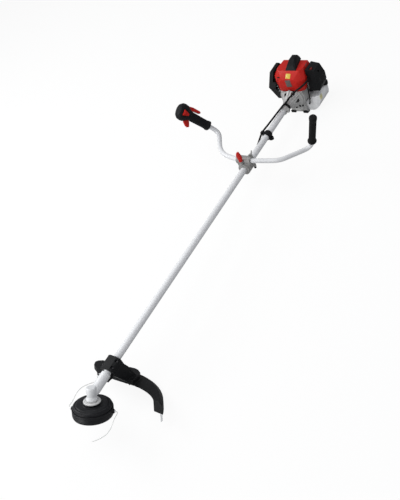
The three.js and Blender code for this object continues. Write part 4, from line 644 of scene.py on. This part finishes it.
def addLineEnd(name, side, settings):
    out, beside, up = eyeletAxes(side)
    route = np.array(settings["route"]) / 1000
    placed = (settings["start"] + route[:, :1]) * out + route[:, 1:] * beside + settings["height"] * up
    path = smoothPath(fromHead(placed), 6)
    piece = addPiece("line_end_%s_form" % name, [carried(path, settings["diameter"] / 2, 10)],
                     "nylonLine", "head", ("line_end_" + name,))


addLineEnd("front", 0, lineSettings)
addLineEnd("rear", 1, lineSettings)

# Trimmer head
headSettings = {
    "flange": {"radius": 0.0295, "top": -0.017, "thickness": 0.005},
    "cover": {"radius": 0.0655, "top": -0.029, "skirtEnd": -0.042, "wall": 0.0026, "boss": 0.020},
    "drum": {"radius": 0.069, "bottom": -0.073, "wall": 0.003, "opening": 0.0276, "edge": 0.007,
             "reach": 0.007},
    "eyelet": {"radius": 0.004, "hole": 0.0017, "height": -0.053},
    "knob": {"radius": 0.027, "bottom": -0.090, "travel": 0.006, "ribs": 8, "ribRadius": 0.0019,
             "ribRing": 0.93},
    "spring": {"radius": 0.016, "wire": 0.0009, "turns": 4, "low": -0.0604, "high": -0.0369},
    "shaft": 0.0048,
}


def addHead(settings):
    flange, cover, drum = settings["flange"], settings["cover"], settings["drum"]
    knob, eyelet, inner = settings["knob"], settings["eyelet"], settings["shaft"]
    r, top = flange["radius"], flange["top"]
    low = top - flange["thickness"]
    profile = [(inner, low), (r - 0.001, low), (r, low + 0.001), (r, top - 0.0015), (r - 0.0015, top),
               (r * 0.72, top), (r * 0.70, top - 0.0007), (r * 0.58, top - 0.0007), (r * 0.55, top),
               (r * 0.5, top + 0.0014), (inner, top + 0.0014)]
    addPiece("holder_flange_form", [fromHead(turned(rounded(profile, 0.0006), "z", 72))],
             "flangePaint", "head", ("holder_flange",), closeRows=True)

    r, top, wall, boss, skirt = (cover[key] for key in ("radius", "top", "wall", "boss", "skirtEnd"))
    seat = low - 0.0003
    profile = [(inner, seat), (boss, seat), (boss + 0.006, top + 0.0015), (boss + 0.0125, top + 0.0015),
               (boss + 0.0135, top + 0.0007), (boss + 0.0155, top + 0.0007), (boss + 0.0165, top + 0.0015),
               (r - 0.013, top + 0.0015), (r - 0.010, top - 0.0005), (r - 0.005, top), (r, top - 0.005),
               (r, skirt + 0.0045), (r - 0.0006, skirt + 0.004), (r - 0.0006, skirt + 0.0028),
               (r, skirt + 0.0023), (r, skirt), (r - 0.0004, skirt - 0.002), (r - wall, skirt - 0.002),
               (r - wall, top - 0.006),
               (r - 0.007, top - wall), (boss - 0.003, top - wall), (inner, top - wall - 0.004)]
    addPiece("head_cover_form", [fromHead(turned(rounded(profile, 0.0014, 5), "z", 96))],
             "glossyBlack", "head", ("head_cover",), closeRows=True)

    r, bottom, wall, edge = (drum[key] for key in ("radius", "bottom", "wall", "edge"))
    rim = skirt - 0.0003
    profile = [(drum["opening"], bottom), (r - edge, bottom), (r - 0.002, bottom + edge * 0.45),
               (r, bottom + edge * 1.3), (r, rim - 0.0085), (r - 0.0008, rim - 0.008),
               (r - 0.0008, rim - 0.0065), (r, rim - 0.006), (r, rim - 0.001), (r - 0.001, rim),
               (r - wall, rim), (r - wall, bottom + edge * 1.3), (r - edge, bottom + wall),
               (drum["opening"], bottom + wall)]
    pieces = [shell(fromHead(turned(rounded(profile, 0.0008), "z", 96)), closeRows=True)]
    tip, hole, pipe = r + drum["reach"], eyelet["hole"], eyelet["radius"]
    for side, name in enumerate(("line_eyelet_front", "line_eyelet_rear")):
        out, beside, up = eyeletAxes(side)
        axes, at = np.stack([beside, up, out]), eyelet["height"] * up
        boss = [(0.0046, r - 0.0022), (0.0088, r - 0.0022), (0.0078, r + 0.0025), (0.0066, tip - 0.002),
                (0.0046, tip - 0.002)]
        placed = at + turned(rounded(boss, 0.0006), "z", 32) @ axes
        pieces.append(shell(fromHead(placed), closeRows=True))
        tube = [(hole, r - wall - 0.001), (pipe, r - wall - 0.001), (pipe, tip - 0.0018),
                (pipe + 0.0015, tip - 0.0014), (pipe + 0.0015, tip), (hole + 0.0006, tip), (hole, tip - 0.001)]
        placed = at + turned(rounded(tube, 0.0005), "z", 32) @ axes
        addPiece(name + "_form", [fromHead(placed)], "brightSteel", "head", (name,),
                 closeRows=True)
    addPiece("head_drum_form", pieces, "glossyBlack", "head", ("head_drum",))

    r, bottom = knob["radius"], knob["bottom"]
    high = drum["bottom"] + drum["wall"]
    profile = [(inner + 0.0017, high), (inner + 0.0017, bottom + 0.012), (0.0035, bottom + 0.0115),
               (0.0035, bottom + 0.0004), (r - 0.011, bottom), (r - 0.004, bottom + 0.002),
               (r - 0.001, bottom + 0.006), (r, high)]
    grids = [shell(fromHead(turned(rounded(profile, 0.0012), "z", 72)), closeRows=True)]
    for turn in np.arange(knob["ribs"]) / knob["ribs"] * 2 * pi:
        x, y = knob["ribRing"] * r * cos(turn), knob["ribRing"] * r * sin(turn)
        ends = [(x, y, z) for z in (bottom + 0.007, drum["bottom"] - knob["travel"] - 0.001)]
        grids.append(shell(fromHead(rod(*ends, knob["ribRadius"], 16, 0.0009))))
    addPiece("bump_knob_form", grids, "blackPlastic", "bump_feed", ("bump_knob",))

    spring = settings["spring"]
    turn = np.linspace(0, spring["turns"] * 2 * pi, spring["turns"] * 24 + 1)
    height = np.linspace(spring["low"], spring["high"], len(turn))
    coil = np.c_[spring["radius"] * np.cos(turn), spring["radius"] * np.sin(turn), height]
    piece = addPiece("bump_spring_form", [carried(fromHead(coil), spring["wire"], 10)], "brightSteel", None,
                     ("bump_spring",))
    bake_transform(piece)


addHead(headSettings)
print("head made")

# Gearbox: a turned body and neck run together with soft fillets
gearboxSettings = {
    "radius": 0.017, "waist": 0.015, "top": 0.0315, "bottom": -0.015, "flare": 0.019,
    "neckRadius": 0.017, "neckEnd": 0.088, "grid": 0.0009, "rounds": 5,
    "lugX": (-0.023, -0.013), "lugBack": (0.022, 0.008), "lugZ": (-0.0065, 0.0065),
}


def addGearbox(settings):
    r, top, bottom, flare = (settings[key] for key in ("radius", "top", "bottom", "flare"))
    neckR, neckEnd = settings["neckRadius"], settings["neckEnd"]
    waist = settings["waist"]
    body = [(flare - 0.0015, bottom), (flare, bottom + 0.001), (flare, bottom + 0.006), (waist, bottom + 0.012),
            (r, top - 0.018), (r, top - 0.003), (r - 0.003, top), (r - 0.006, top)]
    neck = [(neckR - 0.004, 0), (neckR - 0.003, 0.001), (neckR, 0.024), (neckR, neckEnd - 0.001),
            (neckR - 0.001, neckEnd)]
    lug = rounded(rectangle(*settings["lugX"], *(neckEnd - back for back in settings["lugBack"])), 0.003)
    lugGrid = np.stack([np.c_[lug, np.full(len(lug), z)] for z in settings["lugZ"]])
    shells = [shell(fromHead(turned(rounded(body, 0.0015, closed=False), "z", 64))),
              shell(fromShaft(turned(rounded(neck, 0.001, closed=False), "y", 64))),
              shell(fromShaft(lugGrid))]
    piece = pieceFrom("gearbox_housing_form", meshFrom("gearbox_housing_form", shells), "gearboxPaint",
                      "tool", ("gearbox_housing",), sharp=60)
    addSoftening(piece, settings["grid"], settings["rounds"])


addGearbox(gearboxSettings)


# A screw's round head with a recess half its width, turned about an axis at a place.
def screwHead(place, axis, radius, height, sides=24):
    axis = unit(axis)
    r, inner = radius, radius / 2
    profile = [(r * 0.93, -0.001), (r, 0), (r, height - 0.0006), (r - 0.0006, height), (inner, height),
               (inner * 0.94, height * 0.35)]
    p = turned(rounded(profile, 0.0003, 3, closed=False), "z", sides)
    aside = unit(np.cross(axis, [0.3, 0.9, 0.2]))
    beside = np.cross(axis, aside)
    return place + p[..., :1] * aside + p[..., 1:2] * beside + p[..., 2:] * axis


# Shaft, and the screws on its fittings
shaftSettings = {"radius": 0.013, "wall": 0.0015, "front": 0.034, "rear": 1.504}
bracketSettings = {"middle": 0.1215, "boltX": 0.0215, "spacing": 0.026, "head": 0.0044, "high": 0.0042,
                   "seat": 0.011}
neckScrewSettings = {"place": (-0.0205, 0.073), "pin": (0.0055, 0.0105), "radius": 0.0034, "edge": 0.001,
                     "foot": -0.0065, "footRadius": 0.0036, "footHigh": 0.0026}


def addShaft(settings, bracket):
    r = settings["radius"]
    profile = rectangle(r - settings["wall"], r, settings["front"], settings["rear"])
    addPiece("shaft_tube_form", [fromShaft(turned(rounded(profile, 0.0004), "y", 72))], "tubePaint",
             "tool", ("shaft_tube",), closeRows=True)
    heads = []
    for x in (-bracket["boltX"], bracket["boltX"]):
        for y in (-0.5, 0.5):
            place = (x, bracket["middle"] + y * bracket["spacing"], bracket["seat"])
            heads.append(fromShaft(screwHead(place, (0, 0, 1), bracket["head"], bracket["high"])))
    addPiece("shield_screws", heads, "blackSteel", "tool")


def addNeckScrew(settings):
    place = settings["place"]
    low, high = ((*place, z) for z in settings["pin"])
    pin = rod(low, high, settings["radius"], edge=settings["edge"])
    foot = screwHead((*place, settings["foot"]), (0, 0, -1), settings["footRadius"], settings["footHigh"])
    addPiece("neck_screw", [fromShaft(pin), fromShaft(foot)], "blackSteel", "tool")


addShaft(shaftSettings, bracketSettings)
addNeckScrew(neckScrewSettings)
tipSettings = {"place": (0.026, 1.1295), "low": -0.0224, "high": -0.0160, "radius": 0.0051}
tipEnds = [(*tipSettings["place"], tipSettings[key]) for key in ("low", "high")]
addPiece("wing_bolt_tip", [fromShaft(rod(*tipEnds, tipSettings["radius"], edge=0.001))], "blackRubber",
         "wing_bolt")
print("shaft fittings made")

# Handlebar
gripSettings = {"from": 0.042, "to": 0.211, "radius": 0.014, "dome": 0.0152, "rings": 15}


def addHandlebar(side, name, body):
    scale = np.array([side, 1, 1])
    corners = [(0.00015, 0, 0), (0.04, 0, 0), barBends["first"][side], barBends["second"], barBends["end"]]
    path = bentPath(np.array(corners) * scale, barBends["trims"][side])
    edge = barBends["edge"]
    start, stop = unit(path[1] - path[0]) * edge, unit(path[-1] - path[-2]) * edge
    path = np.vstack([path[0], path[0] + start, path[1:-1], path[-1] - stop, path[-1]])
    r = np.full(len(path), barBends["radius"])
    r[[0, -1]] -= edge
    addPiece(name + "_form", [fromArm(carried(path, r, 36), side)], "tubePaint", body, (name,))


addHandlebar(1, "handlebar_left", "left_arm")
addHandlebar(-1, "handlebar_right", "right_arm")


def addPlainGrip(settings):
    low, high, r, dome = (settings[key] for key in ("from", "to", "radius", "dome"))
    inner = barBends["radius"] + 0.0003
    end = float(np.linalg.norm(np.subtract(barBends["end"], barBends["second"]))) + 0.0003
    grooves = []
    for z in np.linspace(low + 0.020, high - 0.028, settings["rings"]):
        grooves += [(r, z - 0.0022), (r - 0.0009, z - 0.0012), (r - 0.0009, z + 0.0012), (r, z + 0.0022)]
    profile = [(inner, low), (r + 0.0035, low), (r + 0.004, low + 0.005), (r + 0.0005, low + 0.012), *grooves,
               (dome, high - 0.014), (dome, high - 0.006), (dome - 0.004, high - 0.001), (dome - 0.009, high),
               (0.0004, high), (0.0004, end), (inner, end)]
    addPiece("plain_grip_form", [fromGrip(turned(rounded(profile, 0.0011), "z", 48), 1)], "blackRubber",
             "left_arm", ("plain_grip",), closeRows=True)


addPlainGrip(gripSettings)
print("handlebar and grips made")

# Control cable
cableSettings = {
    "route": [(81, 1588, 72), (76, 1570, 70), (62, 1548, 63), (38, 1530, 51), (18, 1508, 37), (6, 1487, 25.5),
              (1, 1466, 24.5), (-5, 1440, 20.5), (-11, 1400, 17), (-17, 1350, 14), (-21.5, 1303, 12),
              (-19.5, 1270, 4), (-17, 1240, -5), (-15, 1205, -10), (-16, 1176, -9), (-22, 1156, 0),
              (-30.5, 1141, 10), (-37, 1130, 16)],
    "armRoute": [(-43, 4.7, -14.2), (-46.6, 5.2, -14.7)],
    "radius": 0.0041,
    "endRadius": 0.0026,
    "taper": 0.02,
    "split": -0.0442,
}


def addCable(settings):
    onShaft, onArm = (np.array(settings[key]) / 1000 for key in ("route", "armRoute"))
    path = smoothPath(np.vstack([fromShaft(onShaft), fromArm(onArm, -1)]), 8)
    path = path[path[:, 0] > settings["split"]]
    toEnd = np.linalg.norm(path - path[-1], axis=1)
    radius = np.interp(toEnd, (0, settings["taper"]), (settings["endRadius"], settings["radius"]))
    addPiece("throttle_cable_form", [carried(path, radius, 20)], "blackRubber", "tool",
             ("throttle_cable",))


addCable(cableSettings)


# The starter's rope runs out of its eyelet after the grip: "reach" is measured along the pull.
ropeSettings = {"eyelet": (-0.0270, 1.6748, 0.0500), "pull": (-sin(radians(25)), 0, cos(radians(25))),
                "radius": 0.0017, "reach": (-0.009, 0.008), "stretch": (-0.0085, 0.0015)}


def addStarterRope(settings):
    eyelet, pull = np.array(settings["eyelet"]), np.array(settings["pull"])
    path = fromShaft(eyelet + np.linspace(*settings["reach"], 36)[:, None] * pull)
    piece = addPiece("starter_rope_form", [carried(path, settings["radius"], 12)], "blackRubber", None)
    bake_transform(piece)


addStarterRope(ropeSettings)
print("cables and rope made")

# CAD pieces that keep their shape and get soft edges: a row gives the finish, the body, the grid of
# the remesh and the rounds of smoothing.
softPieces = {
    "debris_shield": ("blackPlastic", "tool", 0.0014, 3),
    "shield_clamp": ("blackPlastic", "tool", 0.0009, 4),
    "hanger_clamp": ("blackPlastic", "tool", 0.0009, 3),
    "handle_clamp_base": ("clampCasting", "tool", 0.0009, 6),
    "handle_clamp_cap": ("clampCasting", "tool", 0.0009, 6),
    "clamp_wing_bolt": ("clampCasting", "wing_bolt", 0.0007, 4),
    "wing_knob": ("redPlastic", "knob", 0.0008, 6),
    "throttle_grip_inner": ("gripRubber", "right_arm", 0.0009, 5),
    "throttle_grip_outer": ("gripRubber", "right_arm", 0.0009, 5),
    "throttle_trigger": ("redPlastic", "trigger", 0.0006, 4),
    "lockout_lever": ("redPlastic", "lockout", 0.0006, 4),
    "stop_switch": ("redPlastic", "switch", 0.0006, 3),
    "throttle_cable_handle": ("blackRubber", "right_arm", 0.0006, 4),
    "fuel_line": ("blackRubber", "tool", 0.0007, 3),
    "tube_collar": ("lightCasting", "tool", 0.0009, 3),
    "av_ring": ("blackRubber", "tool", 0.0009, 3),
    "clutch_housing": ("lightCasting", "tool", 0.0011, 3),
    "crankcase": ("lightCasting", "tool", 0.0015, 2),
    "choke_lever": ("darkRed", "choke", 0.0006, 3),
    "fuel_tank": ("tankPlastic", "tool", 0.0015, 6),
    "fuel_cap": ("blackPlastic", "cap", 0.0008, 3),
    "starter_housing": ("blackPlastic", "tool", 0.0013, 3),
    "starter_handle": ("blackPlastic", "pull_grip", 0.0009, 3),
    "engine_stand": ("lightCasting", "tool", 0.0011, 3),
    "stand_pad": ("blackRubber", "tool", 0.0011, 2),
}
# The turned forms among them, with the number of flat sides that each has in the CAD.
turnedForms = {
    "hanger_clamp": {"sides": 18, "within": 0.0178},
    "tube_collar": {"sides": 16},
    "av_ring": {"sides": 18},
    "clutch_housing": {"sides": 22},
    "crankcase": {"sides": 24},
    "fuel_cap": {"sides": 16, "axis": "z", "middle": (0.091, 1.684)},
    "starter_housing": {"sides": 24},
}
# Pieces with flat faces: finish, body and the width of the bevel.
bevelledPieces = {
    "engine_cover": ("redPlastic", "tool", 0.003),
    "plug_cover": ("blackPlastic", "tool", 0.0065),
    "muffler_guard": ("blackPlastic", "tool", 0.003),
    "filter_cover": ("blackPlastic", "tool", 0.0045),
}
# Two round posts stand inside the tank's inboard corners, where its wall is thinnest.
tankSettings = {"corners": [(-0.0390, 1.5949, -0.0930), (-0.0390, 1.6986, -0.0862)], "high": -0.0455,
                "post": 0.003}
tankPosts = [fromShaft(rod((x, y, low), (x, y, tankSettings["high"]), tankSettings["post"]))
             for x, y, low in tankSettings["corners"]]

for name, row in softPieces.items():
    piece = softened(name, *row, posts=tankPosts if name == "fuel_tank" else ())
    if name in turnedForms:
        trued(piece, **turnedForms[name])
for name, row in bevelledPieces.items():
    bevelled(name, *row)
print("CAD pieces softened:", len(softPieces) + len(bevelledPieces))

# A thin plate with round corners, at a place on a face: "along" is its long side and "normal" looks out.
def platePatch(settings):
    along, normal = (unit(settings[key]) for key in ("along", "normal"))
    beside = np.cross(normal, along)
    half, wide = settings["size"]
    flat = rounded(rectangle(-half, half, -wide, wide), settings["corner"], 6)
    edge = flat[:, :1] * along + flat[:, 1:] * beside
    low, high = settings["depth"]
    rows = [edge + low * normal, edge + (high - 0.0001) * normal, edge * 0.985 + high * normal]
    return fromShaft(settings["place"] + np.stack(rows))


plates = {
    "yellow_plate": {"place": (0.0022, 1.5613, 0.1051), "along": (0.04, 0.68, 0.73), "normal": (0, -0.73, 0.68),
                     "size": (0.0104, 0.0112), "corner": 0.0012, "depth": (-0.001, 0.0004),
                     "finish": "yellowVinyl"},
    "grey_plate": {"place": (0.0015, 1.5502, 0.0755), "along": (-0.1, 0.03, 1), "normal": (0, -1, 0.01),
                   "size": (0.0165, 0.0128), "corner": 0.0012, "depth": (-0.0012, 0.0005),
                   "finish": "greyVinyl"},
    "side_plate": {"place": (0.0608, 1.612, 0.1192), "along": (0.02, 1, 0.02), "normal": (0.8, -0.15, 0.58),
                   "size": (0.019, 0.0028), "corner": 0.0026, "depth": (-0.002, 0.0006), "finish": "greyVinyl"},
    "tank_plate": {"place": (0.1012, 1.6125, -0.0365), "along": (0, 0, 1), "normal": (1, 0, 0),
                   "size": (0.0105, 0.0095), "corner": 0.0012, "depth": (-0.001, 0.0005),
                   "finish": "paleYellowVinyl"},
}
for name, settings in plates.items():
    addPiece(name, [platePatch(settings)], settings["finish"], "tool", sharp=30)

# Three black patches in the cover's shoulder on the exhaust side, the top one the largest: painted shade for
# the insides of its slots.
slotSettings = [
    {"place": (-0.0472, 1.5613, 0.0971), "along": (0.93, -0.31, 0.21), "normal": (-0.37, -0.8, 0.47),
     "size": (0.0092, 0.0025)},
    {"place": (-0.0525, 1.5580, 0.0869), "along": (0.93, -0.32, 0.17), "normal": (-0.36, -0.87, 0.35),
     "size": (0.0066, 0.0012)},
    {"place": (-0.0550, 1.5578, 0.0739), "along": (0.84, -0.45, 0.29), "normal": (-0.52, -0.85, -0.03),
     "size": (0.0060, 0.0012)},
]
slotGrids = [platePatch({**slot, "corner": 0.0011, "depth": (-0.003, 0.0006)}) for slot in slotSettings]
# Black patches: painted shade where the cover's slots open.
addPiece("cover_slot_painted_shade", slotGrids, "blackPlastic", "tool")

screwSettings = {
    "places": [(0.0127, 1.5440, -0.0439), (0.0206, 1.5405, 0.0405), (0.0336, 1.5405, -0.0336),
               (-0.0336, 1.5405, -0.0336), (0.040, 1.5523, -0.040), (-0.040, 1.5523, -0.040)],
    "axis": (0, -1, 0), "radius": 0.0042, "height": 0.0035,
}
screwShape = [screwSettings[key] for key in ("axis", "radius", "height")]
heads = [fromShaft(screwHead(place, *screwShape)) for place in screwSettings["places"]]
addPiece("housing_screws", heads, "blackSteel", "tool")

# A black screen closes the gap between the exhaust guard and the cover, and pale discs on it where its
# round holes are stand for the brightness seen through them: painted light.
screenSettings = {
    "place": (-0.0690, 1.5655, 0.034), "normal": (-0.35, -0.93, -0.1), "along": (0.1, -0.14, 1),
    "size": (0.030, 0.0125), "corner": 0.004, "depth": (-0.0012, 0.0),
    "hole": 0.0024, "roundness": 0.98, "discDepth": (-0.0008, 0.0003),
    "holes": [(0.0155, 0.0015), (0.0035, -0.0015), (-0.0045, 0.0045), (-0.0045, -0.0075), (-0.0135, -0.0015)],
}


def addVentScreen(settings):
    addPiece("vent_screen", [platePatch(settings)], "blackPlastic", "tool")
    along, normal = (unit(settings[key]) for key in ("along", "normal"))
    middle, beside = np.array(settings["place"]), np.cross(normal, along)
    hole = settings["hole"]
    disc = {**settings, "depth": settings["discDepth"], "size": (hole, hole)}
    disc["corner"] = hole * settings["roundness"]
    grids = [platePatch({**disc, "place": middle + up * along + out * beside}) for up, out in settings["holes"]]
    # Pale discs in the vent holes: painted light seen through the guard.
    addPiece("vent_painted_light_discs", grids, "flangePaint", "tool")


addVentScreen(screenSettings)
print("small parts made")

# Floor, lamps and background
stageSettings = {"half": 4.0, "height": -0.0005, "shadowShare": 0.1, "mirrorShare": 0.12, "seenShade": 0.86,
                 "bounceShade": 0.42}


def addFloor(settings):
    half = settings["half"]
    corners = [(x, y, settings["height"]) for x, y in rectangle(-half, half, -half, half)]
    mesh = bpy.data.meshes.new("floor")
    mesh.from_pydata(corners, [], [(0, 1, 2, 3)])
    floor = bpy.data.objects.new("floor", mesh)
    bpy.context.collection.objects.link(floor)
    material = bpy.data.materials.new("paleFloor")
    material.use_nodes = True
    tree = material.node_tree
    shader = tree.nodes["Principled BSDF"]
    shader.inputs["Roughness"].default_value = 0.9
    glow = addNode(tree, "ShaderNodeEmission", in_Strength=1.0)
    path = addNode(tree, "ShaderNodeLightPath")
    greys = [(settings[key],) * 3 + (1,) for key in ("bounceShade", "seenShade")]
    tree.links.new(mixed(tree, path.outputs["Is Camera Ray"], *greys), shader.inputs["Base Color"])
    mirrored = product(tree, path.outputs["Is Glossy Ray"], settings["mirrorShare"])
    seen = product(tree, path.outputs["Is Camera Ray"], mirrored, "MAXIMUM")
    seen = product(tree, seen, path.outputs["Is Transmission Ray"], "MAXIMUM")
    share = product(tree, seen, 1 - settings["shadowShare"])
    blend = addNode(tree, "ShaderNodeMixShader")
    tree.links.new(share, blend.inputs[0])
    tree.links.new(shader.outputs[0], blend.inputs[1])
    tree.links.new(glow.outputs[0], blend.inputs[2])
    tree.links.new(blend.outputs[0], tree.nodes["Material Output"].inputs["Surface"])
    mesh.materials.append(material)


lamps = {
    "keyLamp": {"place": (-2.4, -0.2, 2.0), "size": 1.8, "power": 50},
    "topLamp": {"place": (-0.4, -0.3, 3.0), "size": 2.2, "power": 34},
    "frontLamp": {"place": (-0.9, -3.0, 0.9), "size": 1.8, "power": 36},
    "fillLamp": {"place": (2.6, -1.6, 1.8), "size": 2.2, "power": 16},
    "backLamp": {"place": (0.6, 2.6, 2.2), "size": 1.8, "power": 9},
}


def addLamps(settings):
    middle = Vector(((np.array(cadLow) + np.array(cadHigh)) / 2).tolist())
    for name, lamp in settings.items():
        data = bpy.data.lights.new(name, "AREA")
        data.shape = "DISK"
        data.size = lamp["size"]
        data.energy = lamp["power"]
        light = bpy.data.objects.new(name, data)
        bpy.context.collection.objects.link(light)
        place = middle + Vector(lamp["place"])
        turn = (middle - place).to_track_quat("-Z", "Y")
        light.matrix_world = Matrix.Translation(place) @ turn.to_matrix().to_4x4()


def addWorld():
    world = bpy.data.worlds.new("softRoom")
    bpy.context.scene.world = world
    world.use_nodes = True
    tree = world.node_tree
    tree.nodes.clear()
    path = addNode(tree, "ShaderNodeLightPath")
    seen = product(tree, path.outputs["Is Camera Ray"], path.outputs["Is Transmission Ray"], "MAXIMUM")
    light = addNode(tree, "ShaderNodeBackground", in_Color=(0.93, 0.95, 1.0, 1), in_Strength=0.33)
    white = addNode(tree, "ShaderNodeBackground", in_Color=(1, 1, 1, 1), in_Strength=1.0)
    blend = addNode(tree, "ShaderNodeMixShader")
    tree.links.new(seen, blend.inputs[0])
    tree.links.new(light.outputs[0], blend.inputs[1])
    tree.links.new(white.outputs[0], blend.inputs[2])
    tree.links.new(blend.outputs[0], addNode(tree, "ShaderNodeOutputWorld").inputs[0])


addFloor(stageSettings)
addLamps(lamps)
addWorld()
bpy.context.scene.view_settings.view_transform = "Standard"
print("stage set")
